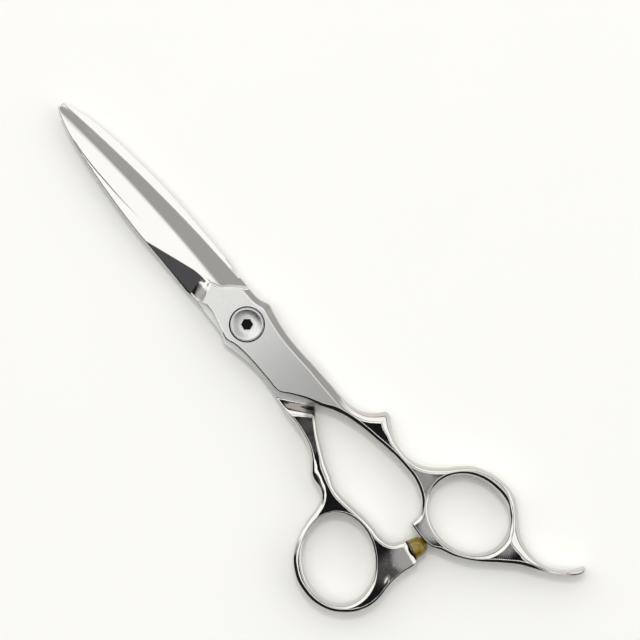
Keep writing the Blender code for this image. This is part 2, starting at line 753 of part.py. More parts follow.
def ball_spot(index):
    """The place of one ball on the pitch circle of the bearing."""
    angle = 2 * math.pi * index / BALL_COUNT
    return Matrix.Translation((BALL_PITCH * math.cos(angle), BALL_PITCH * math.sin(angle), BALL_LEVEL))


def ball_cage(parts, cutters):
    """The brass ring that keeps the balls apart."""
    inner = PIVOT_HOLE_RADIUS + RUNNING_CLEARANCE
    low = BALL_LEVEL - CAGE_THICKNESS / 2
    made = turned("ball_cage", washer_profile(inner, RACE_RADIUS, low, low + CAGE_THICKNESS), parts)
    for i in range(BALL_COUNT):
        radius = BALL_DIAMETER / 2 + RUNNING_CLEARANCE
        pocket = rod(f"ball pocket {i + 1}", radius, -CAGE_THICKNESS, CAGE_THICKNESS, sides=POCKET_STEPS)
        combine(made, as_cutter(place(pocket, pocket.name, cutters, ball_spot(i))), "DIFFERENCE")
    return made


def bearing_balls(parts):
    """The balls of the bearing, each an object of its own on one mesh."""
    shape = bmesh.new()
    bmesh.ops.create_uvsphere(
        shape, u_segments=BALL_SEGMENTS, v_segments=BALL_SEGMENTS // 2 + 1, radius=BALL_DIAMETER / 2
    )
    mesh = bpy.data.meshes.new("ball")
    shape.to_mesh(mesh)
    shape.free()
    return [place(mesh, f"ball_{i + 1}", parts, ball_spot(i)) for i in range(BALL_COUNT)]


def pivot_empty(name, parts, parent=None):
    """An empty on the pivot axis that carries what turns together."""
    made = bpy.data.objects.new(name, None)
    made.empty_display_size = HEAD_DIAMETER
    parts.objects.link(made)
    made.parent = parent
    return made


def main():
    """Builds the shears at rest, closed on the bumper."""
    clear_scene()
    parts = new_collection("hair_cutting_shears")
    cutters = new_collection("cutters")
    finger_half = pivot_empty("finger_half", parts)
    thumb_half = pivot_empty("thumb_half", parts, finger_half)
    screw_turn = pivot_empty("screw_turn", parts, thumb_half)
    cage_turn = pivot_empty("cage_turn", parts, finger_half)
    finish_part(finger_blade(parts, cutters), POLISHED_STEEL, finger_half)
    finish_part(finger_handle(parts, cutters), POLISHED_STEEL, finger_half)
    finish_part(thumb_blade(parts, cutters), POLISHED_STEEL, thumb_half)
    finish_part(thumb_handle(parts, cutters), POLISHED_STEEL, thumb_half)
    finish_part(bumper(parts), AMBER_RUBBER, thumb_half)
    finish_part(bumper_stud(parts), SPRING_STEEL, thumb_half)
    finish_part(back_nut(parts, cutters), POLISHED_STEEL, thumb_half)
    finish_part(spring_washer(parts), SPRING_STEEL, thumb_half)
    finish_part(pivot_screw(parts, cutters), POLISHED_STEEL, screw_turn)
    finish_part(bearing_race("head_race", HEAD_RACE_LEVEL, parts), BEARING_STEEL, screw_turn)
    finish_part(bearing_race("seat_race", SEAT_RACE_LEVEL, parts), BEARING_STEEL, finger_half)
    finish_part(ball_cage(parts, cutters), CAGE_BRASS, cage_turn)
    for ball in bearing_balls(parts):
        finish_part(ball, BEARING_STEEL, cage_turn)


main()
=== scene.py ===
import logging
import math
from collections.abc import Sequence
from dataclasses import dataclass, field
from enum import Enum

import bpy
import numpy as np
from mathutils import Matrix, Vector
from mathutils.geometry import delaunay_2d_cdt
from mathutils.kdtree import KDTree


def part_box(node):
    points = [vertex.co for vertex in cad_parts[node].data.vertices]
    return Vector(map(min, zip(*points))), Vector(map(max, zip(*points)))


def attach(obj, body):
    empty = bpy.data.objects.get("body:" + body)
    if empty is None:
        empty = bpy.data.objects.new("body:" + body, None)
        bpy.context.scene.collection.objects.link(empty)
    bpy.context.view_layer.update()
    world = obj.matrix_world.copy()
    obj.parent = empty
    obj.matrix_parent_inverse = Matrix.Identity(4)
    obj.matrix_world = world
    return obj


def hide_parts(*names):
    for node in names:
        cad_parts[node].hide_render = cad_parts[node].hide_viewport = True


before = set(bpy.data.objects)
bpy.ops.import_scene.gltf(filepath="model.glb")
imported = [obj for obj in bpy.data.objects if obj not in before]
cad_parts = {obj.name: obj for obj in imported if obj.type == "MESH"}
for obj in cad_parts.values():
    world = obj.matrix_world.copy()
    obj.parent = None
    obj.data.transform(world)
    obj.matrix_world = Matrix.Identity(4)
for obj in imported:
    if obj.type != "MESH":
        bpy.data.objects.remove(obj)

Array = np.ndarray
Color = tuple[float, float, float]
Flat = tuple[float, float]
Solid = tuple[float, float, float]
Piece = bpy.types.Object
Material = bpy.types.Material
Node = bpy.types.Node
Socket = bpy.types.NodeSocket
LOG = logging.getLogger("shears")

# Lengths are in millimetres and become metres when a mesh is made.
MM = 0.001
# The ride faces' heights, the plates' thickness, the pivot's bore, and where blade and handle are welded.
RIDE_LOW = 2.7
RIDE_HIGH = 2.8
OUTER_THICKNESS = 2.7
PIVOT_HOLE = 2.53
WELD_X = -17.2


class Side(Enum):
    """Which half of the shears: the upper one carries the finger ring, the lower one the thumb ring."""

    FINGER = 1
    THUMB = -1


class Slot(Enum):
    """Material slots of the part's record."""

    STEEL = "polished_steel"
    BEARING = "bearing_steel"
    SPRING = "spring_steel"
    BRASS = "cage_brass"
    RUBBER = "amber_rubber"


# Curves


@dataclass(frozen=True)
class Knot:
    """A point of an outline and the worked side there.

    The side has a plan width, a round at its foot, a soft crest and a lean, which is its slope.
    """

    x: float
    y: float
    width: float = 1.0
    foot: float = 0.3
    soft: float = 0.12
    lean: float = 0.62
    sharp: bool = False

    @property
    def side(self) -> tuple[float, float, float, float]:
        """The plan width, the lean, and the plan widths of the rounds at the foot and at the crest."""
        return self.width, self.lean, self.foot, self.soft


def knots(*rows: tuple) -> list[Knot]:
    """Knots from rows of x, y, width and, where they aren't the usual ones, foot, soft, lean and sharp."""
    return [Knot(*row) for row in rows]


def stretch(side: tuple[float, ...], *places: Flat) -> list[Knot]:
    """Knots at some places that share one worked side, given as width, foot, soft and lean."""
    return [Knot(*place, *side) for place in places]


def ease(t: Array) -> Array:
    """A smooth step from 0 to 1."""
    t = np.clip(t, 0, 1)
    return t * t * (3 - 2 * t)


def quarter(t: Array) -> Array:
    """The height of a quarter round, from 0 at its foot to 1."""
    return np.sqrt(np.maximum(0.0, 1 - (1 - np.clip(t, 0, 1)) ** 2))


def soft_min(a: Array, b: Array, blend: Array | float) -> Array:
    """The lower of two values, with the crease between them rounded over."""
    share = np.clip(0.5 + 0.5 * (b - a) / blend, 0, 1)
    return b + (a - b) * share - blend * share * (1 - share)


def hermite(t: Array, start: Array, leave: Array, end: Array, arrive: Array) -> Array:
    """A cubic curve between two values with given slopes at its ends.

    Args:
        t: shares of the way, from 0 to 1.
        start: value at the start.
        leave: slope there.
        end: value at the end.
        arrive: slope there.

    Returns:
        Values along the curve.
    """
    return (
        start * (2 * t**3 - 3 * t**2 + 1)
        + leave * (t**3 - 2 * t**2 + t)
        + end * (3 * t**2 - 2 * t**3)
        + arrive * (t**3 - t**2)
    )


def between(x: Array, marks: Sequence[Flat]) -> Array:
    """Reads values off a smooth line through marks.

    Args:
        x: places to read at.
        marks: pairs of a place and a value, in order.

    Returns:
        Values at the places, those of the end marks beyond the ends.
    """
    at, value = np.array(marks, float).T
    x = np.clip(x, at[0], at[-1])
    slope = np.gradient(value, at)
    i = np.clip(np.searchsorted(at, x, side="right") - 1, 0, len(at) - 2)
    run = at[i + 1] - at[i]
    return hermite((x - at[i]) / run, value[i], slope[i] * run, value[i + 1], slope[i + 1] * run)


@dataclass
class Reach:
    """Distances from points to a chain, with gradients, and the worked side at the nearest place."""

    distance: Array
    grad_x: Array
    grad_y: Array
    side: Array

    def moved(self, dx: float, dy: float) -> Array:
        """The distances after a small move of the points."""
        return self.distance + self.grad_x * dx + self.grad_y * dy

    def share(self, dx: float, dy: float) -> Array:
        """Works out the side's height after a small move of the points.

        Args:
            dx: the move along x.
            dy: the move along y.

        Returns:
            Heights as shares of the thickness.
        """
        d = self.moved(dx, dy)
        width, lean, foot, soft = self.side.T
        left = width - d
        crest = (left + soft) ** 2 / (4 * soft)
        drop = np.where(left > soft, left, np.where(left < -soft, 0.0, crest))
        return quarter(d / foot) * (1 - np.minimum(lean * drop / OUTER_THICKNESS, 0.9))


class Chain:
    """A run of points, open or closed, that can be asked for its distance."""

    def __init__(self, points: Array, sides: Array | None = None, closed: bool = False) -> None:
        """Keeps the points with their sides and prepares the search for the nearest one.

        Args:
            points: the points in order.
            sides: width, lean, foot and soft at each point, where they matter.
            closed: whether the chain runs round.
        """
        self.points = points
        self.sides = np.tile(Knot(0, 0).side, (len(points), 1)) if sides is None else sides
        self.closed = closed
        self.tree = KDTree(len(points))
        for index, (x, y) in enumerate(points):
            self.tree.insert((x, y, 0.0), index)
        self.tree.balance()

    @classmethod
    def through(cls, marks: Sequence[Knot], step: float) -> "Chain":
        """Makes a smooth chain through knots, with corners where a knot is sharp.

        Args:
            marks: the knots in order.
            step: spacing of the points.

        Returns:
            The chain.
        """
        place = np.array([(k.x, k.y) for k in marks])
        side = np.array([k.side for k in marks])
        chord = np.linalg.norm(np.diff(place, axis=0), axis=1)
        slope = np.diff(place, axis=0) / chord[:, None]
        points, sides = [], []
        for i in range(len(marks) - 1):
            start, end = slope[i], slope[i]
            if i > 0 and not marks[i].sharp:
                start = (chord[i] * slope[i - 1] + chord[i - 1] * slope[i]) / (chord[i - 1] + chord[i])
            if i < len(marks) - 2 and not marks[i + 1].sharp:
                end = (chord[i + 1] * slope[i] + chord[i] * slope[i + 1]) / (chord[i] + chord[i + 1])
            count = max(2, math.ceil(chord[i] / step))
            t = (np.arange(count) / count)[:, None]
            points.append(hermite(t, place[i], start * chord[i], place[i + 1], end * chord[i]))
            sides.append(side[i] + (side[i + 1] - side[i]) * ease(t))
        return cls(np.concatenate([*points, place[-1:]]), np.concatenate([*sides, side[-1:]]))

    def near(self, at: Array) -> Array:
        """The index of the nearest point of the chain for each of some points."""
        return np.array([self.tree.find((x, y, 0.0))[1] for x, y in at], dtype=int)

    def gap(self, at: Array) -> Array:
        """The distance to the nearest point of the chain for each of some points."""
        return np.array([self.tree.find((x, y, 0.0))[2] for x, y in at])

    def reach(self, at: Array, signed: bool = False) -> Reach:
        """Measures distances to the chain.

        Args:
            at: points, one row each.
            signed: whether a point on the left of the chain counts as negative.

        Returns:
            The distances with gradients and worked sides.
        """
        nearest = self.near(at)
        last = len(self.points) - 1
        best = np.full(len(at), np.inf)
        foot = np.zeros_like(at)
        side = np.zeros((len(at), 4))
        turn = np.ones(len(at))
        for shift in (-1, 0):
            first = nearest + shift
            second = first + 1
            if self.closed:
                first, second = first % (last + 1), second % (last + 1)
            else:
                first, second = np.clip(first, 0, last - 1), np.clip(second, 1, last)
            a, b = self.points[first], self.points[second]
            run = b - a
            t = np.clip(((at - a) * run).sum(1) / np.maximum((run**2).sum(1), 1e-12), 0, 1)
            close = a + run * t[:, None]
            away = np.linalg.norm(at - close, axis=1)
            better = away < best
            best = np.where(better, away, best)
            foot = np.where(better[:, None], close, foot)
            mixed = self.sides[first] * (1 - t)[:, None] + self.sides[second] * t[:, None]
            side = np.where(better[:, None], mixed, side)
        if signed:
            tangent = np.gradient(self.points, axis=0)[nearest]
            aside = at - self.points[nearest]
            turn = np.where(tangent[:, 0] * aside[:, 1] > tangent[:, 1] * aside[:, 0], -1.0, 1.0)
        pull = (at - foot) / np.maximum(best, 1e-9)[:, None] * turn[:, None]
        return Reach(best * turn, pull[:, 0], pull[:, 1], side)


# Meshes


@dataclass
class Shell:
    """Vertices with their normals, faces, how satin each vertex is and how much painted shade it carries."""

    points: list[Array] = field(default_factory=list)
    normals: list[Array] = field(default_factory=list)
    satin: list[Array] = field(default_factory=list)
    painted_shade: list[Array] = field(default_factory=list)
    faces: list[tuple[int, ...]] = field(default_factory=list)
    count: int = 0

    def add(
        self,
        points: Array,
        normals: Array,
        faces: Sequence[Sequence[int]],
        satin: Array | float = 0.0,
        painted_shade: Array | float = 0.0,
    ) -> None:
        """Adds vertices and the faces between them.

        Args:
            points: the vertices.
            normals: their normals, of any length.
            faces: rows of indices into the vertices.
            satin: how satin each vertex is.
            painted_shade: how dark each vertex is painted, standing in for shade in gaps and recesses.
        """
        self.points.append(np.asarray(points, float))
        self.normals.append(np.asarray(normals, float))
        self.satin.append(np.broadcast_to(np.asarray(satin, float), (len(points),)))
        self.painted_shade.append(np.broadcast_to(np.asarray(painted_shade, float), (len(points),)))
        self.faces.extend(tuple(int(i) + self.count for i in face) for face in faces)
        self.count += len(points)

    def strip(
        self,
        low: Array,
        high: Array,
        low_normal: Array,
        high_normal: Array,
        closed: bool = True,
        painted_shade: float = 0.0,
    ) -> None:
        """Adds a band of quads between two rows of points.

        Args:
            low: first row.
            high: second row, with as many points.
            low_normal: normals of the first row.
            high_normal: normals of the second row.
            closed: whether the rows run round.
            painted_shade: how dark the band is painted, standing in for shade in a gap or recess.
        """
        n = len(low)
        faces = [(i, (i + 1) % n, n + (i + 1) % n, n + i) for i in range(n if closed else n - 1)]
        normals = np.concatenate([low_normal, high_normal])
        self.add(np.concatenate([low, high]), normals, faces, painted_shade=painted_shade)

    def object(self, name: str, turn: Side = Side.FINGER, level: float = 0.0) -> Piece:
        """Makes a mesh object in the shared frame.

        Args:
            name: its name.
            turn: THUMB turns the shell over about X.
            level: height of the shell's zero plane.

        Returns:
            The object, with smooth faces and the shell's own normals.
        """
        flip = np.array([1.0, turn.value, turn.value])
        points = (np.concatenate(self.points) * flip + np.array([0.0, 0.0, level])) * MM
        normals = np.concatenate(self.normals) * flip
        mesh = bpy.data.meshes.new(name)
        mesh.from_pydata(points.tolist(), [], self.faces)
        mesh.polygons.foreach_set("use_smooth", [True] * len(mesh.polygons))
        for word, values in (("satin", self.satin), ("painted_shade", self.painted_shade)):
            mark = mesh.attributes.new(word, "FLOAT", "POINT")
            mark.data.foreach_set("value", np.concatenate(values).astype(np.float32))
        lengths = np.maximum(np.linalg.norm(normals, axis=1), 1e-9)
        mesh.normals_split_custom_set_from_vertices((normals / lengths[:, None]).tolist())
        made = bpy.data.objects.new(name, mesh)
        bpy.context.scene.collection.objects.link(made)
        return made


def circle(radius: float, count: int) -> Array:
    """Points round a circle about the pivot."""
    angle = np.arange(count) * (2 * math.pi / count)
    return np.stack([radius * np.cos(angle), radius * np.sin(angle)], axis=1)


def flanged(radius: float, flat: float, count: int) -> Array:
    """Points round a circle with two flats.

    Args:
        radius: the circle's radius.
        flat: distance of each flat from the middle.
        count: number of points.

    Returns:
        The points.
    """
    ring = circle(radius, count)
    ring[:, 1] = np.clip(ring[:, 1], -flat, flat)
    return ring


def lift(flat: Array, height: float | Array) -> Array:
    """Flat points at a height."""
    return np.column_stack([flat, np.broadcast_to(height, (len(flat),))])


def inward(loop: Array) -> Array:
    """Works out which way is in, all along a loop that runs anticlockwise.

    Args:
        loop: its points.

    Returns:
        A unit normal for each point.
    """
    run = np.roll(loop, -1, axis=0) - np.roll(loop, 1, axis=0)
    normal = np.column_stack([-run[:, 1], run[:, 0]])
    return normal / np.maximum(np.linalg.norm(normal, axis=1), 1e-9)[:, None]


def within(at: Array, loop: Array) -> Array:
    """Finds out which points lie inside a closed loop.

    Args:
        at: the points.
        loop: the loop's points.

    Returns:
        True for each point that lies inside.
    """
    inside = np.zeros(len(at), bool)
    for (x1, y1), (x2, y2) in zip(loop, np.roll(loop, -1, axis=0)):
        if y1 != y2:
            crosses = (y1 > at[:, 1]) != (y2 > at[:, 1])
            inside ^= crosses & (at[:, 0] < (x2 - x1) * (at[:, 1] - y1) / (y2 - y1) + x1)
    return inside


@dataclass
class Face:
    """One triangulated face of a half, and which of its points lie on the loops and on the weld."""

    points: Array
    triangles: Array
    loop_of: dict[int, int]
    weld_of: dict[int, int]


def triangulate(outline: Array, hole: Array, opening: Array, weld: Array, inner: Array) -> Face:
    """Fills an outline with triangles through given inner points.

    Args:
        outline: the closed outer loop.
        hole: the closed loop of the ring's hole.
        opening: the closed loop of the pivot's opening.
        weld: points of a line across the outline, its ends being on the outline.
        inner: more points inside.

    Returns:
        The filled face.
    """
    loops = (outline, hole, opening)
    points, edges = [], []
    for loop in loops:
        base = len(points)
        points.extend(map(tuple, loop))
        edges.extend((base + i, base + (i + 1) % len(loop)) for i in range(len(loop)))
    loop_total = len(points)
    ends = [int(np.argmin(np.abs(outline - end).sum(1))) for end in (weld[0], weld[-1])]
    points.extend(map(tuple, weld[1:-1]))
    path = [ends[0], *range(loop_total, len(points)), ends[1]]
    edges.extend(zip(path[:-1], path[1:]))
    weld_place = {source: order for order, source in enumerate(path)}
    points.extend(map(tuple, inner))
    filled = delaunay_2d_cdt([Vector(p) for p in points], edges, [], 0, 1e-6, True)
    found, _, triangles, sources, _, _ = filled
    flat = np.array([tuple(v) for v in found])
    corners = np.array([t for t in triangles if len(t) == 3], dtype=int)
    loop_of, weld_of, on_loop = {}, {}, np.zeros(len(flat), bool)
    for index, origins in enumerate(sources):
        for origin in origins:
            on_loop[index] |= origin < loop_total
            if origin < loop_total - len(opening):
                loop_of[origin] = index
            if origin in weld_place:
                weld_of[weld_place[origin]] = index
    keep = np.ones(len(corners), bool)
    unsure = on_loop[corners].all(1)
    middle = flat[corners[unsure]].mean(1)
    keep[unsure] = within(middle, outline) & ~within(middle, hole) & ~within(middle, opening)
    return Face(flat, corners[keep], loop_of, weld_of)


# The blades


@dataclass(frozen=True)
class Border:
    """A straight line across a half: a place on it, and its unit normal, which points past it."""

    x: float
    y: float
    normal_x: float
    normal_y: float

    def past(self, x: Array, y: Array) -> Array:
        """How far some places lie past the line."""
        return self.normal_x * (x - self.x) + self.normal_y * (y - self.y)


@dataclass
class Blade:
    """The ground outer face of a blade, in a half's own frame, with heights above the ride face."""

    length: float = 70.4
    heel_depth: float = 5.8
    edge_bow: float = 4.96
    land: float = 0.13
    spine_width: float = 6.05
    spine_belly: float = 33.0
    tip_half: float = 0.84
    tip_bends: tuple[Flat, ...] = ((0.7, 1.6), (0.3, 8))
    crest: float = 2.15
    crest_from: float = 12.0
    crest_fall: float = 0.0155
    back_slope: float = 0.105
    spine_slope: float = 0.205
    ridge_round: float = 1.0
    back_round: float = 0.05
    crease: float = 0.05
    crease_from: float = 20.0
    crease_blend: float = 36.0
    crease_width: float = 0.5
    scoop: Border = Border(32.5, 6.1, -0.319, 0.947)
    scoop_slope: float = 0.14
    scoop_round: float = 0.25
    hollow_share: float = 0.03
    hollow_margin: float = 0.06
    hollow_width: float = 0.9
    hollow_from: float = 15.0
    hollow_blend: float = 9.0
    ridge_marks: tuple[Flat, ...] = (
        (6, -0.2), (14, -0.3), (22, -0.5), (37, -0.4), (48, 0.1), (60, 1.0), (66, 1.7), (70.4, 0.84),
    )
    back_marks: tuple[Flat, ...] = (
        (10, 0.0), (17.3, 0.5), (28.4, 2.25), (47.6, 3.6), (58.9, 3.3), (66, 2.1), (70.4, 1.2),
    )

    def edge(self, x: Array) -> Array:
        """The cutting edge."""
        return -(self.heel_depth - self.edge_bow * (x / self.length) ** 2)

    def spine(self, x: Array) -> Array:
        """Works out the spine, which is straight to its belly and then bends to the tip.

        Args:
            x: places along the blade.

        Returns:
            The spine's distances from the middle line.
        """
        p = np.clip((x - self.spine_belly) / (self.length - self.spine_belly), 0, 1)
        bend = sum(share * p**power for share, power in self.tip_bends)
        return self.spine_width - (self.spine_width - self.tip_half) * bend

    def ridge(self, x: Array) -> Array:
        """The soft ridge between the edge's facet and the back's."""
        return between(x, self.ridge_marks)

    def back_ridge(self, x: Array) -> Array:
        """The faint ridge between the back's facet and the spine's."""
        return between(x, self.back_marks)

    def height(self, x: Array, y: Array) -> Array:
        """Works out the height of the outer face from its facets and the scoop before the plate.

        Args:
            x: places along the blade.
            y: places across it, the cutting edge being negative.

        Returns:
            Heights.
        """
        ridge, back, edge = self.ridge(x), self.back_ridge(x), self.edge(x)
        crest = self.crest - self.crest_fall * (x - self.crest_from)
        facet = self.land + (crest - self.land) * (y - edge) / (ridge - edge)
        rear = crest - self.back_slope * (y - ridge)
        spine = rear - (self.spine_slope - self.back_slope) * (y - back)
        top = soft_min(soft_min(facet, rear, self.ridge_round), spine, self.back_round)
        crease = self.crease * ease((x - self.crease_from) / self.crease_blend)
        top = top - crease * ease((y - back) / self.crease_width + 0.5)
        return top + self.scoop_slope * soft_min(-self.scoop.past(x, y), np.zeros_like(x), self.scoop_round)

    def lines(self) -> list[Array]:
        """Lays points along the back ridge and the scoop's border.

        Returns:
            Two rows of points to triangulate through.
        """
        along = np.arange(18.0, 70.0, 0.3)
        across = np.arange(14.5, 32.0, 0.25)
        border = self.scoop.y - self.scoop.normal_x / self.scoop.normal_y * (across - self.scoop.x)
        return [np.column_stack([along, self.back_ridge(along)]), np.column_stack([across, border])]

    def hollow(self, x: Array, y: Array) -> Array:
        """Works out how far the ride face is hollow ground.

        Args:
            x: places along the blade.
            y: places across it.

        Returns:
            Depths, 0 along the edge and the spine.
        """
        edge, spine = self.edge(x), self.spine(x)
        across = np.clip((y - edge) / np.maximum(spine - edge, 0.1), 0, 1)
        share = np.clip((across - self.hollow_margin) / self.hollow_width, 0, 1)
        begun = ease((x - self.hollow_from) / self.hollow_blend)
        return self.hollow_share * (spine - edge) * 4 * share * (1 - share) * begun


@dataclass
class PlateFront:
    """The front of a pivot plate: a short round toward the cutting edge and a long cove in the scoop."""

    marks: list[Knot] = field(default_factory=lambda: stretch(
        (), (11.4, 7.4), (10.9, 5.0), (11.9, 3.0), (12.9, 1.4), (13.4, 0.6), (13.35, 0.15), (12.7, -0.15),
        (11.25, -0.85), (9.67, -2.65), (8.13, -4.23), (6.8, -5.6), (6.2, -7.4),
    ))
    step: float = 0.2
    starts_at: float = 4.0
    cove_from: float = 0.3
    cove_blend: float = 2.2
    fall: float = 0.35
    cove_fall: float = 1.6
    cove_growth: float = 0.35
    heel_growth: float = 0.05
    cove_bend: float = 1.6
    round_reach: float = 0.55
    round_drop: float = 0.62
    offsets: tuple[float, ...] = (
        -0.6, -0.5, -0.4, -0.3, -0.2, -0.1, -0.03,
        0.04, 0.12, 0.22, 0.34, 0.48, 0.64, 0.82, 1.02, 1.25, 1.5,
    )
    chain: Chain = field(init=False)

    def __post_init__(self) -> None:
        """Lays the line of the front."""
        self.chain = Chain.through(self.marks, self.step)

    def height(self, x: Array, y: Array, past: Array, plate: Array, blade: Array) -> Array:
        """Leads the plate's height over into the blade's.

        Args:
            x: places along the half.
            y: places across it.
            past: how far they lie behind the front.
            plate: the plate's heights there.
            blade: the blade's heights there.

        Returns:
            Heights of the face.
        """
        cove = ease((y - self.cove_from) / self.cove_blend)
        long_fall = cove * (self.cove_fall + self.cove_growth * np.maximum(y, 0))
        t = np.clip(1 + past / (self.fall + long_fall + self.heel_growth * np.maximum(-y, 0)), 0, 1)
        rise = cove * t**self.cove_bend + (1 - cove) * 0.5 * (t + ease(t))
        rounded = self.round_drop * (1 - cove) * np.clip(self.round_reach - past, 0, self.round_reach) ** 2
        return np.where(x < self.starts_at, plate, blade + (plate - rounded - blade) * rise)

    def rows(self) -> list[Array]:
        """Lays rows of points on both sides of the front.

        Returns:
            The rows, less what would run together in the corners.
        """
        line = self.chain.points
        run = np.gradient(line, axis=0)
        normal = np.column_stack([-run[:, 1], run[:, 0]]) / np.linalg.norm(run, axis=1)[:, None]
        found = []
        for offset in self.offsets:
            row = line + normal * offset
            found.append(row[self.chain.gap(row) > abs(offset) * 0.9])
        return found


# The two halves


@dataclass(frozen=True)
class Spot:
    """A round place on a half that is worn dull or darkened with painted shade: where it is, how far it
    reaches and how much.
    """

    x: float
    y: float
    reach: float
    depth: float

    def cover(self, at: Array) -> Array:
        """How much of the place's wear or painted shade lies on each of some points."""
        away = np.hypot(at[:, 0] - self.x, at[:, 1] - self.y)
        return self.depth * ease(1.6 - 1.6 * away / self.reach)


@dataclass(frozen=True)
class Scrape:
    """A long shallow scrape: its middle, heading in degrees, half length, half width and depth.

    The depth is a share of the thickness.
    """

    x: float
    y: float
    heading: float
    length: float
    width: float
    depth: float

    def sink(self, x: Array, y: Array) -> Array:
        """Works out how deep the scrape is.

        Args:
            x: places along the half.
            y: places across it.

        Returns:
            Depths as shares of the thickness.
        """
        turn = math.radians(self.heading)
        along = (x - self.x) * math.cos(turn) + (y - self.y) * math.sin(turn)
        across = (y - self.y) * math.cos(turn) - (x - self.x) * math.sin(turn)
        return self.depth * np.exp(-((along / self.length) ** 2) - (across / self.width) ** 2)


@dataclass
class RingHole:
    """The oval hole of a ring: its middle, half sizes, turn in degrees, and worked sides by heading."""

    x: float
    y: float
    half_length: float
    half_width: float
    turn: float
    sides: list[Knot]
    count: int = 260

    def chain(self) -> Chain:
        """Lays the hole's edge.

        Returns:
            A closed chain with the worked sides.
        """
        turn = math.radians(self.turn)
        angle = np.arange(self.count) * (2 * math.pi / self.count)
        a, b = self.half_length * np.cos(angle), self.half_width * np.sin(angle)
        edge = np.column_stack([
            self.x + a * math.cos(turn) - b * math.sin(turn),
            self.y + a * math.sin(turn) + b * math.cos(turn),
        ])
        heading = np.degrees(np.arctan2(edge[:, 1] - self.y, edge[:, 0] - self.x))
        marks = [knot.x for knot in self.sides]
        measures = np.array([knot.side for knot in self.sides]).T
        sides = np.column_stack([np.interp(heading, marks, row, period=360) for row in measures])
        return Chain(edge, sides, closed=True)


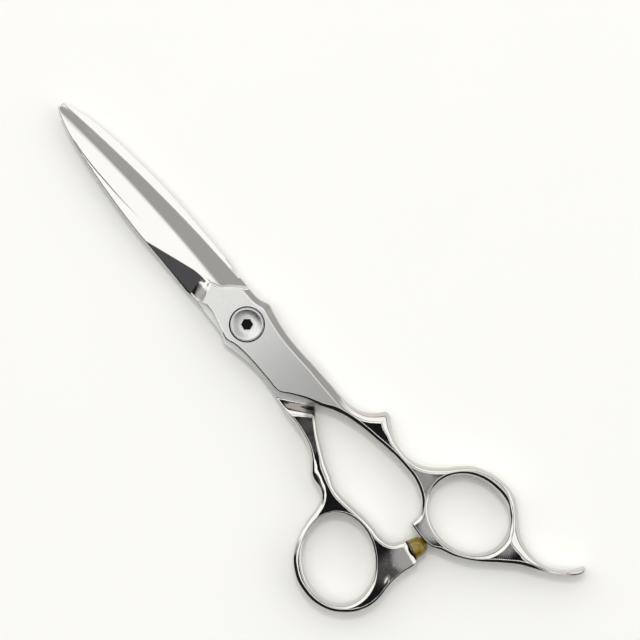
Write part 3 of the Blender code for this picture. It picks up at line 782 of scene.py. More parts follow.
@dataclass
class Half:
    """One half of the shears, a blade with its pivot plate and a handle.

    It is built in its own frame: x to the tip, y away from the cutting edge, h outwards from the ride face.
    """

    side: Side
    outer: list[Knot]
    inner: list[Knot]
    ring_hole: RingHole
    blade: Blade
    pocket: Array
    pocket_floor: float
    front: PlateFront = field(default_factory=PlateFront)
    back_depth: float = 2.8
    ramp_start: Border = Border(WELD_X, -6.1, -0.583, -0.812)
    ramp_end: Border = Border(-27.8, -2.6, -0.72, -0.694)
    ramp_length: float = 0.78
    ramp_delay: float = 0.2
    ramp_bend: float = 0.8
    polish_to: float = -34.2
    cove_satin: float = 1.5
    arm_dip: float = 0.0
    arm_from: Flat = (-58.0, -16.0)
    arm_blend: float = 5.0
    spine_lead: tuple[Flat, ...] = ((1.07, -0.79), (2.7, -0.23))
    spine_round: float = 0.4
    edge_round: float = 0.1
    mouth_break: float = 0.1
    bore_count: int = 72
    step: float = 0.26
    probe: float = 0.004
    scrapes: tuple[Scrape, ...] = ()
    worn: tuple[Spot, ...] = ()
    # Spots of painted shade on the ride side, where the other half's tail shades the ramp.
    shade_spots: tuple[Spot, ...] = ()
    offsets: tuple[float, ...] = (
        0.02, 0.06, 0.12, 0.19, 0.27, 0.36, 0.45, 0.55, 0.65, 0.75, 0.85, 0.96,
        1.08, 1.2, 1.34, 1.5, 1.68, 1.9, 2.15,
    )
    line_offsets: tuple[float, ...] = (-0.45, -0.3, -0.18, -0.08, 0.0, 0.08, 0.18, 0.3, 0.45)
    handle_pitch: float = 0.24
    blade_pitch: float = 0.4
    chains: dict[str, Chain] = field(init=False)
    outline: Array = field(init=False)
    hole: Array = field(init=False)
    mouth: Array = field(init=False)

    def __post_init__(self) -> None:
        """Lays the chains, the closed outline and the pocket's mouth."""
        self.chains = {
            "outer": Chain.through(self.outer, self.step),
            "inner": Chain.through(self.inner, self.step),
            "spine": self.lay_spine(),
            "edge": self.lay_edge(),
            "hole": self.ring_hole.chain(),
        }
        rim = [self.chains[name].points[:-1] for name in ("outer", "inner", "spine", "edge")]
        loop = self.cross_weld(np.concatenate(rim))
        area = np.sum(loop[:, 0] * np.roll(loop[:, 1], -1) - np.roll(loop[:, 0], -1) * loop[:, 1])
        self.outline = loop if area > 0 else loop[::-1].copy()
        self.hole = self.chains["hole"].points
        self.mouth = self.pocket - inward(self.pocket) * self.mouth_break

    @property
    def word(self) -> str:
        """The half's name in the CAD model."""
        return self.side.name.lower()

    def lay_spine(self) -> Chain:
        """Lays the spine from the plate to the tip, with a short lead from the plate's corner.

        Returns:
            The spine's chain, which ends on the cutting edge.
        """
        corner, length = self.inner[-1], self.blade.length
        lead = np.array(self.spine_lead)
        straight, bent = np.linspace(15.7, 60, 120), np.linspace(60.3, length, 60)
        along = np.concatenate([corner.x + lead[:, 0], straight, bent])
        spine = np.column_stack([along, self.blade.spine(along)])
        spine[: len(lead), 1] += lead[:, 1]
        tip = (length, self.blade.edge(np.array(length)))
        return Chain(np.concatenate([[(corner.x, corner.y)], spine, [tip]]))

    def lay_edge(self) -> Chain:
        """Lays the cutting edge from the tip back to the plate.

        Returns:
            The edge's chain.
        """
        back = np.linspace(self.blade.length, self.outer[0].x, 210)
        edge = np.column_stack([back, self.blade.edge(back)])
        edge[-1] = (self.outer[0].x, self.outer[0].y)
        return Chain(edge)

    def cross_weld(self, loop: Array) -> Array:
        """Puts a point in wherever a loop crosses the weld's plane.

        Args:
            loop: the loop's points.

        Returns:
            The loop with the new points.
        """
        made = []
        for here, ahead in zip(loop, np.roll(loop, -1, axis=0)):
            made.append(here)
            if (here[0] - WELD_X) * (ahead[0] - WELD_X) < 0:
                t = (WELD_X - here[0]) / (ahead[0] - here[0])
                made.append(here + (ahead - here) * t)
        return np.array(made)

    def lay_weld(self) -> Array:
        """Lays the weld across the half, with points close together near its ends.

        Returns:
            Points from one side of the outline to the other.
        """
        ends = self.outline[np.abs(self.outline[:, 0] - WELD_X) < 1e-9]
        low, high = ends[np.argmin(ends[:, 1])], ends[np.argmax(ends[:, 1])]
        near, far = np.geomspace(0.02, 1.5, 14), 10 - np.geomspace(1.2, 0.02, 10)
        spread = np.concatenate([[0], near, np.linspace(1.8, 8.6, 24), far, [10]]) / 10
        return low + (high - low) * spread[:, None]

    def inner_points(self, opening: Array) -> Array:
        """Lays the points to triangulate through: rows along every edge and ridge, and a grid.

        Args:
            opening: the pivot's opening in this face.

        Returns:
            Flat points inside the face.
        """
        rim = Chain(np.concatenate([self.outline, self.hole]))
        lines = np.concatenate([*self.rim_rows(rim), *self.front.rows(), *self.ridge_rows(rim)])
        every = np.concatenate([lines, *self.grids(Chain(lines))])
        every = every[within(every, self.outline)]
        every = every[~within(every, self.hole) & ~within(every, opening)]
        every = every[(rim.gap(every) > 0.012) & (Chain(opening).gap(every) > 0.04)]
        return every[np.abs(every[:, 0] - WELD_X) > 0.06]

    def rim_rows(self, rim: Chain) -> list[Array]:
        """Lays rows along the outline and the ring's hole.

        Args:
            rim: both edges as one chain.

        Returns:
            The rows, every other point being left out in the far ones.
        """
        found = []
        for loop, normal in ((self.outline, inward(self.outline)), (self.hole, -inward(self.hole))):
            for order, offset in enumerate(self.offsets):
                pick = slice(None) if offset < 1.0 else slice(order % 2, None, 2)
                row = loop[pick] + normal[pick] * offset
                found.append(row[rim.gap(row) > offset * 0.96])
        return found

    def ridge_rows(self, rim: Chain) -> list[Array]:
        """Lays rows along the blade's own lines.

        Args:
            rim: the outline and the hole as one chain.

        Returns:
            The rows, clear of the outline.
        """
        found = []
        for line in self.blade.lines():
            for offset in self.line_offsets:
                row = line + (0.0, offset)
                found.append(row[within(row, self.outline) & (rim.gap(row) > 0.12)])
        return found

    def grids(self, lines: Chain) -> list[Array]:
        """Lays a fine grid over the handle and a wider one over the blade.

        Args:
            lines: the rows that the grids keep clear of.

        Returns:
            The grids' points.
        """
        low, high = self.outline.min(0), self.outline.max(0)
        found = []
        for start, end, pitch in ((low[0], WELD_X, self.handle_pitch), (WELD_X, high[0], self.blade_pitch)):
            xs, ys = np.meshgrid(np.arange(start, end, pitch), np.arange(low[1], high[1], pitch * 0.866))
            xs[1::2] += pitch / 2
            grid = np.column_stack([xs.ravel(), ys.ravel()])
            grid = grid[within(grid, self.outline)]
            found.append(grid[lines.gap(grid) > pitch * 0.55])
        return found

    def measure(self, at: Array) -> dict[str, Reach]:
        """Measures the reaches of some points to every chain of the half.

        Args:
            at: flat points.

        Returns:
            The reaches by the chains' names, and to the plate's front.
        """
        reach = {name: chain.reach(at) for name, chain in self.chains.items()}
        reach["front"] = self.front.chain.reach(at, signed=True)
        return reach

    def body(self, at: Array, reach: dict[str, Reach], dx: float, dy: float) -> Array:
        """Works out the handle's and plate's height as a share of their thickness, 1 on the flat.

        Args:
            at: flat points.
            reach: their reaches.
            dx: a small move along x.
            dy: a small move along y.

        Returns:
            Shares from 0 at the outline to 1.
        """
        x, y = at[:, 0] + dx, at[:, 1] + dy
        dip = self.arm_dip * np.maximum(y - self.arm_from[1], 0) ** 2
        share = 1 - dip * ease((self.arm_from[0] - x) / self.arm_blend)
        for scrape in self.scrapes:
            share = share - scrape.sink(x, y)
        for name in ("outer", "inner", "hole"):
            share = share * reach[name].share(dx, dy)
        return share

    def outer_height(self, at: Array, reach: dict[str, Reach], dx: float = 0.0, dy: float = 0.0) -> Array:
        """Works out the height of the outer face.

        Args:
            at: flat points.
            reach: their reaches.
            dx: a small move along x.
            dy: a small move along y.

        Returns:
            Heights above the ride face.
        """
        x, y = at[:, 0] + dx, at[:, 1] + dy
        plate = OUTER_THICKNESS * self.body(at, reach, dx, dy)
        blade = np.maximum(self.blade.height(x, y), 0.02)
        height = self.front.height(x, y, reach["front"].moved(dx, dy), plate, blade)
        spine = quarter(reach["spine"].moved(dx, dy) / self.spine_round)
        return height * (spine * quarter(reach["edge"].moved(dx, dy) / self.edge_round))

    def back_height(self, at: Array, reach: dict[str, Reach], dx: float = 0.0, dy: float = 0.0) -> Array:
        """Works out the height of the ride face and, behind the ramp, of the handle's other side.

        Args:
            at: flat points.
            reach: their reaches.
            dx: a small move along x.
            dy: a small move along y.

        Returns:
            Heights, negative behind the ramp.
        """
        x, y = at[:, 0] + dx, at[:, 1] + dy
        begun, ended = self.ramp_start.past(x, y), self.ramp_end.past(x, y)
        t = np.clip(begun / np.maximum(begun - ended, 1.0) / self.ramp_length - self.ramp_delay, 0, 1)
        sunk = self.back_depth * ease(t**self.ramp_bend) * self.body(at, reach, dx, dy)
        return self.blade.hollow(x, y) - sunk

    def satin_of(self, at: Array, reach: dict[str, Reach], outside: bool) -> Array:
        """Works out how satin the surface is: the pivot plate, its tail, the ride face and worn places are.

        Args:
            at: flat points.
            reach: their reaches.
            outside: whether they lie on the outer face.

        Returns:
            0 where polished, 1 where satin on the flat, and more where satin on a slope too.
        """
        x, y = at.T
        if outside:
            past = reach["front"].distance
            satin = ease((past + 0.02) / 0.05) * ease((x - self.polish_to) / 0.8)
            cove = ease((past + 4.4) / 3.0) * ease(-past / 0.3)
            cove = cove * ease((y - self.front.cove_from) / 1.2) * ease((x - 6) / 1.5)
            satin = np.maximum(satin, np.minimum(2.2 * cove, self.cove_satin))
        else:
            satin = ease((0.7 - self.ramp_start.past(x, y)) / 0.4) * ease((14 - x) / 4)
        return np.max([satin, *(spot.cover(at) for spot in self.worn)], axis=0)

    def painted_shade_of(self, at: Array, outside: bool) -> Array:
        """Works out how much painted shade the surface takes: only in the corner of the ramp, standing in
        for the shade of the other half's tail.

        Args:
            at: flat points.
            outside: whether they lie on the outer face.

        Returns:
            Shares from 0 where unshaded.
        """
        spots = () if outside else self.shade_spots
        return np.max([np.zeros(len(at)), *(spot.cover(at) for spot in spots)], axis=0)

    def shape(self, face: Face, reach: dict[str, Reach], outside: bool) -> tuple[Array, Array]:
        """Works out a face's heights and normals.

        Args:
            face: the triangulated face.
            reach: its points' reaches.
            outside: whether it is the outer face.

        Returns:
            A height and a normal for each point.
        """
        height_of = self.outer_height if outside else self.back_height
        at, probe = face.points, self.probe
        height = height_of(at, reach)
        slope_x = (height_of(at, reach, probe, 0) - height_of(at, reach, -probe, 0)) / (2 * probe)
        slope_y = (height_of(at, reach, 0, probe) - height_of(at, reach, 0, -probe)) / (2 * probe)
        normal = np.column_stack([-slope_x, -slope_y, np.ones(len(height))]) * (1.0 if outside else -1.0)
        rim_normal = np.concatenate([-inward(self.outline), inward(self.hole)])
        for source, index in face.loop_of.items():
            height[index] = 0.0
            normal[index] = (*rim_normal[source], 0.0)
        return height, normal

    def add_face(self, front: Shell, rear: Shell, weld: Array, opening: Array, outside: bool) -> Array:
        """Adds one face of the half to its two pieces.

        Args:
            front: the blade's shell.
            rear: the handle's shell.
            weld: the line between them.
            opening: the pivot's opening in this face.
            outside: whether it is the outer face.

        Returns:
            The face's points along the weld.
        """
        face = triangulate(self.outline, self.hole, opening, weld, self.inner_points(opening))
        reach = self.measure(face.points)
        height, normal = self.shape(face, reach, outside)
        points = lift(face.points, height)
        satin, painted_shade = self.satin_of(face.points, reach, outside), self.painted_shade_of(face.points, outside)
        triangles = face.triangles if outside else face.triangles[:, ::-1]
        ahead = face.points[face.triangles].mean(1)[:, 0] > WELD_X
        for shell, chosen in ((front, ahead), (rear, ~ahead)):
            used, renumbered = np.unique(triangles[chosen], return_inverse=True)
            shell.add(points[used], normal[used], renumbered.reshape(-1, 3), satin[used], painted_shade[used])
        return points[[face.weld_of[i] for i in range(len(weld))]]

    def bore_through(self, shell: Shell) -> None:
        """Adds the walls and floor of the pivot's pocket and the bore below it.

        Args:
            shell: the blade's shell.
        """
        pocket, floor, edge = self.pocket, self.pocket_floor, OUTER_THICKNESS - self.mouth_break
        wall, broken = lift(inward(pocket), 0.0), lift(inward(pocket), 0.8)
        # The pocket's walls, broken edge and floor are painted dark: painted shade in the gap round the
        # screw's head.
        shell.strip(lift(pocket, floor), lift(pocket, edge), wall, wall, painted_shade=1.0)
        shell.strip(lift(pocket, edge), lift(self.mouth, OUTER_THICKNESS), broken, broken, painted_shade=1.0)
        bore = circle(PIVOT_HOLE, len(pocket))
        up = np.tile([0.0, 0.0, 1.0], (len(pocket), 1))
        shell.strip(lift(bore, floor), lift(pocket, floor), up, up, painted_shade=1.0)
        every = slice(None, None, len(pocket) // self.bore_count)
        bore_in = lift(inward(bore), 0.0)[every]
        shell.strip(lift(bore[every], 0.0), lift(bore[every], floor), bore_in, bore_in)

    def build(self) -> tuple[Piece, Piece]:
        """Builds both faces, joins them at the outline and cuts the half at the weld.

        Returns:
            The blade with its pivot plate, and the handle.
        """
        front, rear = Shell(), Shell()
        weld = self.lay_weld()
        top = self.add_face(front, rear, weld, self.mouth, outside=True)
        low = self.add_face(front, rear, weld, circle(PIVOT_HOLE, self.bore_count), outside=False)
        across = np.tile([1.0, 0.0, 0.0], (len(weld), 1))
        front.strip(top, low, -across, -across, closed=False)
        rear.strip(low, top, across, across, closed=False)
        self.bore_through(front)
        level = RIDE_HIGH if self.side is Side.FINGER else RIDE_LOW
        blade = front.object(f"{self.word}_blade_ground", self.side, level)
        return blade, rear.object(f"{self.word}_handle_forged", self.side, level)

    def dress(self, blade: Piece, handle: Piece, steel: Material) -> None:
        """Gives both pieces their finish, on the half's body."""
        fit(blade, f"{self.word}_half", Slot.STEEL, steel, f"{self.word}_blade")
        fit(handle, f"{self.word}_half", Slot.STEEL, steel, f"{self.word}_handle")


# Outlines in a half's own frame. The outer side runs back from the heel of the cutting edge to the
# handle's end, and the inner side comes forward again to the spine.
PLATE_OUTER = knots(
    (9.83, -6.02, 1.0, 0.2, 0.35, 0.4), (6.19, -6.12, 1.5, 0.2, 0.45, 0.4),
    (2.74, -6.38, 1.6, 0.2, 0.5, 0.4), (0.05, -7.31, 1.85, 0.2, 0.5, 0.4),
    (-2.42, -6.8, 1.8, 0.2, 0.5, 0.4), (-7.17, -5.97, 1.65, 0.2, 0.5, 0.4),
    (-13.1, -5.75, 1.6, 0.2, 0.5, 0.4),
)
PLATE_INNER = [
    *stretch(
        (0.42, 0.15, 0.12, 0.7), (-17.2, 4.85), (-16.0, 5.0), (-14.1, 4.95), (-10.4, 4.93), (-6.65, 4.98),
        (-3.55, 5.25), (-1.66, 5.6),
    ),
    *knots((0.71, 6.35, 0.42, 0.15, 0.12, 0.6)),
    *stretch((0.5, 0.15, 0.12, 0.24), (3.0, 5.7), (7.6, 4.65), (9.86, 4.57)),
]
FINGER_OUTER = [
    *PLATE_OUTER,
    *knots(
        (-17.4, -5.92, 1.65, 0.2, 0.5, 0.4), (-24.0, -6.09, 1.85, 0.2, 0.5, 0.42),
        (-27.6, -6.21, 1.9, 0.4, 0.45, 0.5), (-31.2, -6.41, 1.9, 0.8, 0.35, 0.6),
        (-33.9, -7.31, 1.8, 1.0, 0.3), (-35.9, -8.78, 1.95, 1.2, 0.3), (-37.5, -10.85, 2.25, 1.4, 0.3),
        (-38.15, -11.85, 2.5, 1.5, 0.3), (-39.3, -12.05, 2.6, 1.6, 0.3), (-41.3, -11.0, 2.2, 1.4, 0.3),
        (-44.2, -9.5, 1.4, 0.9, 0.25), (-47.4, -8.75, 1.05, 0.65, 0.2), (-50.85, -8.95, 1.2, 0.75, 0.2),
        (-53.45, -9.88, 1.2, 0.75, 0.2), (-55.5, -11.37, 1.2, 0.75, 0.25), (-58.0, -14.1, 1.1, 0.75, 0.3),
    ),
    *stretch((1.0, 0.7, 0.3), (-60.1, -17.1), (-62.0, -19.35), (-64.8, -21.1), (-68.9, -22.5)),
    *knots(
        (-72.3, -22.75, 1.2, 0.8, 0.3), (-75.3, -22.1, 1.8, 1.1, 0.35), (-78.0, -20.45, 2.7, 1.4, 0.4),
        (-80.45, -18.7, 3.1, 1.6, 0.4), (-83.0, -17.2, 2.7, 1.4, 0.4), (-86.5, -16.4, 2.0, 1.1, 0.4),
        (-89.8, -16.5, 1.4, 0.8, 0.35), (-92.85, -17.5, 1.2, 0.7, 0.35), (-95.2, -19.3, 1.1, 0.6, 0.3),
        (-97.2, -21.8, 0.9, 0.5, 0.3), (-98.3, -24.1, 0.8, 0.5, 0.3),
    ),
]
FINGER_INNER = [
    *stretch((0.8, 0.5, 0.3), (-98.3, -24.1), (-98.75, -24.25), (-99.2, -23.9)),
    *knots(
        (-99.3, -23.2, 0.8, 0.45, 0.3), (-98.9, -21.7, 0.9, 0.4, 0.3), (-97.0, -19.35, 1.0, 0.35, 0.25),
        (-94.3, -16.9, 1.1, 0.35, 0.25), (-91.6, -15.0, 1.1, 0.35, 0.2), (-88.0, -12.6, 1.1, 0.35, 0.15),
        (-84.4, -9.25, 1.0, 0.35, 0.15), (-81.0, -5.67, 0.95, 0.35, 0.25), (-78.2, -3.28, 0.95, 0.35, 0.3),
        (-75.0, -1.2, 0.9, 0.35, 0.25), (-72.45, -0.12, 0.8, 0.3, 0.15), (-70.3, 0.95, 0.5, 0.15, 0.1),
        (-69.6, 1.15, 0.4, 0.12, 0.08), (-63.9, 1.2, 0.4, 0.12, 0.08), (-62.95, 1.1, 0.5, 0.15, 0.1),
        (-62.85, 0.37, 0.7, 0.25, 0.1), (-62.7, -1.35, 0.85, 0.3, 0.1),
    ),
    *stretch(
        (0.9,), (-61.6, -3.0), (-59.8, -4.67), (-57.5, -5.8), (-54.3, -6.58), (-51.6, -6.63),
        (-48.0, -6.53),
    ),
    *knots(
        (-44.6, -6.16, 0.9, 0.25), (-41.5, -5.65, 0.9, 0.25), (-38.3, -5.14, 0.95, 0.25),
        (-35.7, -4.55, 1.05, 0.25), (-33.1, -3.85, 1.15, 0.25), (-29.7, -2.4, 1.15, 0.25),
        (-26.9, -0.75, 0.95, 0.25), (-24.0, 0.4, 0.65, 0.18, 0.12, 0.66),
        (-20.2, 2.75, 0.52, 0.18, 0.12, 0.66),
    ),
    *PLATE_INNER,
]
THUMB_OUTER = [
    *PLATE_OUTER,
    *knots(
        (-17.0, -6.1, 1.2, 0.4, 0.3, 0.5), (-22.3, -6.8, 0.8, 0.65), (-26.1, -6.95, 0.78, 0.68),
        (-29.2, -7.35, 0.78, 0.68), (-32.2, -8.1, 0.78, 0.66), (-34.4, -9.2, 0.85, 0.62, 0.15, 0.6),
        (-36.4, -10.7, 1.15, 0.52, 0.5, 0.52), (-37.9, -11.9, 1.45, 0.5, 0.75, 0.5),
        (-39.5, -12.4, 1.5, 0.5, 0.75, 0.5), (-41.6, -12.6, 1.3, 0.55, 0.5, 0.28),
        (-43.0, -13.15, 1.1, 0.5, 0.3, 0.4), (-44.4, -14.6, 1.0, 0.45, 0.2),
        (-45.3, -17.0, 1.0, 0.45, 0.2), (-46.0, -20.2, 1.0, 0.4, 0.25),
    ),
    *stretch(
        (1.0, 0.35, 0.3), (-47.0, -23.2), (-48.6, -26.2), (-50.5, -28.55), (-52.5, -30.0), (-55.4, -31.35),
        (-58.1, -31.8), (-60.9, -31.8), (-63.5, -31.2),
    ),
    *knots(
        (-66.4, -29.8, 1.0, 0.35, 0.25), (-68.7, -27.7, 0.95, 0.3, 0.2), (-70.4, -25.4, 0.9, 0.3, 0.15),
        (-71.35, -23.0, 0.8, 0.28), (-71.7, -20.4, 0.7, 0.25, 0.1), (-71.5, -17.7, 0.65, 0.25, 0.1),
        (-70.8, -14.6, 0.6, 0.22, 0.1),
    ),
    *stretch((0.55, 0.2, 0.1), (-70.6, -12.1), (-70.7, -9.6), (-70.95, -8.15)),
    *knots((-71.2, -5.9, 0.5, 0.2, 0.1, 0.62, True)),
]
THUMB_INNER = [
    *knots(
        (-71.2, -5.9, 1.2, 0.35), (-65.15, -4.7, 1.2, 0.35, 0.12, 0.62, True),
        (-64.6, -6.0, 1.0, 0.45, 0.15), (-63.5, -7.8, 0.95, 0.55, 0.2), (-62.2, -8.45, 1.1, 0.65, 0.15),
    ),
    *stretch((1.25, 0.75), (-60.0, -8.75), (-57.7, -8.6), (-55.1, -8.65), (-51.8, -9.0)),
    *knots(
        (-48.5, -9.45, 1.25, 0.7), (-46.3, -9.65, 1.2, 0.65, 0.2), (-44.15, -9.5, 1.1, 0.6, 0.25),
        (-41.3, -8.35, 1.3, 0.6, 0.5), (-39.1, -7.6, 1.3, 0.6, 0.5), (-35.5, -6.0, 1.05, 0.6),
        (-31.5, -4.0, 0.9, 0.5), (-28.4, -2.1, 0.85, 0.45), (-25.7, -0.45, 0.7, 0.4),
        (-24.0, 0.4, 0.5, 0.18, 0.12, 0.66), (-20.2, 2.75, 0.5, 0.18, 0.12, 0.66),
    ),
    *PLATE_INNER,
]
# Worked sides of the rings' holes. Each row has a heading from the hole's middle in degrees in place of x.
FINGER_HOLE_SIDES = knots(
    (-175, 0, 1.25, 0.85, 0.2), (-130, 0, 1.5, 1.15, 0.2), (-85, 0, 1.15, 0.55, 0.25),
    (-40, 0, 1.15, 0.6, 0.25), (5, 0, 0.95, 0.5, 0.2), (50, 0, 0.9, 0.5, 0.25), (95, 0, 0.9, 0.5, 0.3),
    (140, 0, 1.0, 0.6, 0.3),
)
THUMB_HOLE_SIDES = knots(
    (-175, 0, 0.9, 0.5, 0.3), (-140, 0, 0.8, 0.5, 0.3), (-95, 0, 0.75, 0.45, 0.3),
    (-50, 0, 0.75, 0.45, 0.25), (-5, 0, 0.6, 0.45, 0.1), (30, 0, 0.6, 0.45, 0.06),
    (60, 0, 0.62, 0.22, 0.1), (90, 0, 0.62, 0.2, 0.1), (115, 0, 0.55, 0.2, 0.05), (145, 0, 0.6, 0.3, 0.05),
    (165, 0, 0.85, 0.5, 0.2),
)


def upper_half() -> Half:
    """Sets out the half with the finger ring, the spur and the finger rest.

    Returns:
        The half.
    """
    return Half(
        Side.FINGER,
        FINGER_OUTER,
        FINGER_INNER,
        RingHole(-70.35, -11.05, 10.55, 8.8, 7.5, FINGER_HOLE_SIDES),
        Blade(),
        pocket=circle(4.3, 144),
        pocket_floor=0.55,
        worn=(
            Spot(-50, -7.5, 5, 0.4), Spot(-56.5, -8, 5, 0.45), Spot(-60, -9, 5, 0.42),
            Spot(-61, -5, 4, 0.4), Spot(-66.8, -2.6, 5.4, 0.6), Spot(-81, -13, 5, 0.33),
        ),
    )


def lower_half() -> Half:
    """Sets out the half with the thumb ring and the bumper's arm.

    Returns:
        The half.
    """
    return Half(
        Side.THUMB,
        THUMB_OUTER,
        THUMB_INNER,
        RingHole(-57.92, -20.08, 11.15, 8.75, 33.3, THUMB_HOLE_SIDES),
        Blade(spine_width=6.5),
        pocket=flanged(3.79, 3.24, 144),
        pocket_floor=1.6,
        arm_dip=0.0006,
        scrapes=(Scrape(-69.6, -14.6, 62.0, 1.2, 0.5, 0.016), Scrape(-67.9, -10.9, 40.0, 0.5, 0.3, 0.006)),
        worn=(
            Spot(-68.2, -7, 6, 0.5), Spot(-68, -12, 6.5, 0.2),
            Spot(-28, -4.5, 4, 0.18), Spot(-32.5, -6.5, 4, 0.18),
        ),
        # Painted shade at the top of the ramp, under the finger half's tail.
        shade_spots=(Spot(-25.7, -1.5, 2.2, 0.7), Spot(-26.8, -2.6, 2.0, 0.5)),
    )


# Small turned pieces


@dataclass
class Screw:
    """The tension screw: a dished head with a raised rim and a hex socket, on a plain shank."""

    radius: float = 3.95
    bottom: float = 4.69
    top: float = 5.59
    rim: float = 0.42
    dish: float = 0.6
    dish_bend: float = 1.6
    mouth: float = 1.6
    foot_round: float = 0.08
    rim_round: float = 0.12
    inner_round: float = 0.1
    hex_flats: float = 2.5
    hex_depth: float = 1.5
    hex_turn: float = 49.5
    hex_break: float = 0.06
    hex_break_depth: float = 0.07
    shank: float = 1.8
    count: int = 144
    # Bands at the head's foot that are painted dark as the shade in the gap round the head.
    shaded_bands: int = 9

    @property
    def floor(self) -> float:
        """Height of the dish's floor."""
        return self.top - self.dish

    def build(self) -> Piece:
        """Turns the head and the shank and cuts the socket.

        Returns:
            The screw.
        """
        shell = Shell()
        self.head(shell)
        self.socket(shell)
        unit, foot = circle(1, self.count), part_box("pivot_screw")[0].z / MM
        out, down = lift(unit, 0.0), np.tile([0.0, 0.0, -1.0], (self.count, 1))
        shank = unit * self.shank
        flange = unit * (self.radius - self.foot_round)
        shell.strip(lift(shank, self.bottom), lift(flange, self.bottom), down, down)
        shell.strip(lift(shank, foot), lift(shank, self.bottom), out, out)
        shell.add(lift(shank, foot), down, [tuple(range(self.count))[::-1]])
        return shell.object("dished_screw")

    def profile(self) -> Array:
        """Draws half the head's section, from its bottom edge over the rim and in to the socket's mouth.

        Returns:
            Pairs of a radius and a height.
        """
        side, foot, rim, lip = self.radius, self.foot_round, self.rim_round, self.inner_round
        inside = side - self.rim
        turn = np.linspace(0, math.pi / 2, 7)
        line = [(side - foot + foot * math.sin(a), self.bottom + foot - foot * math.cos(a)) for a in turn]
        line += [(side - rim + rim * math.cos(a), self.top - rim + rim * math.sin(a)) for a in turn]
        line += [(inside + lip - lip * math.sin(a), self.top - lip + lip * math.cos(a)) for a in turn[:5]]
        radius, height = line[-1]
        for t in np.linspace(0.06, 1, 22):
            drop = (height - self.floor) * (1 - t) ** self.dish_bend
            line.append((radius + (self.mouth - radius) * t, self.floor + drop))
        return np.array(line)

    def head(self, shell: Shell) -> None:
        """Adds the head's side, rim and dish.

        Args:
            shell: the screw's shell.
        """
        line = self.profile()
        slope = np.gradient(line, axis=0)
        unit = circle(1, self.count)
        rows = [lift(unit * radius, height) for radius, height in line]
        tilts = [lift(unit * rise, -run) for run, rise in slope]
        for i in range(len(line) - 1):
            # The bands at the head's foot take painted shade, standing in for the gap between head and
            # pocket.
            painted_shade = 1.0 if i < self.shaded_bands else 0.0
            shell.strip(rows[i], rows[i + 1], tilts[i], tilts[i + 1], painted_shade=painted_shade)
        up = np.tile([0.0, 0.0, 1.0], (self.count, 1))
        hexagon = self.hexagon(self.hex_flats / 2 + self.hex_break)
        shell.strip(lift(unit * self.mouth, self.floor), lift(hexagon, self.floor), up, up)

    def hexagon(self, apothem: float) -> Array:
        """Lays points round a hexagon, at the same angles as the head's points.

        Args:
            apothem: half the distance between flats.

        Returns:
            The points.
        """
        angle = np.arange(self.count) * (2 * math.pi / self.count)
        local = (angle - math.radians(self.hex_turn) + math.pi / 6) % (math.pi / 3) - math.pi / 6
        local = np.where(np.abs(local) < math.pi / self.count, 0.0, local)
        radius = apothem / np.cos(math.pi / 6 - np.abs(local))
        return np.column_stack([np.cos(angle), np.sin(angle)]) * radius[:, None]

    def socket(self, shell: Shell) -> None:
        """Adds the socket's broken edge, its six walls and its floor.

        Args:
            shell: the screw's shell.
        """
        wall = self.hexagon(self.hex_flats / 2)
        mouth = self.hexagon(self.hex_flats / 2 + self.hex_break)
        lean = lift(-wall / np.linalg.norm(wall, axis=1)[:, None], 1.0)
        edge, deep = self.floor - self.hex_break_depth, self.floor - self.hex_depth
        shell.strip(lift(mouth, self.floor), lift(wall, edge), lean, lean)
        angle = np.degrees(np.arctan2(wall[:, 1], wall[:, 0]))
        facing = np.radians(np.floor((angle - self.hex_turn) / 60) * 60 + self.hex_turn + 30)
        side = -np.column_stack([np.cos(facing), np.sin(facing), np.zeros(self.count)])
        # The socket's walls and floor are painted dark: painted shade inside the deep socket.
        shell.strip(lift(wall, edge), lift(wall, deep), side, side, painted_shade=1.0)
        up = np.tile([0.0, 0.0, 1.0], (self.count, 1))
        shell.add(lift(wall, deep), up, [tuple(range(self.count))], painted_shade=1.0)

    def dress(self, screw: Piece, steel: Material) -> None:
        """Gives the screw its finish, on its own body."""
        fit(screw, "tension_screw", Slot.STEEL, steel, "pivot_screw")


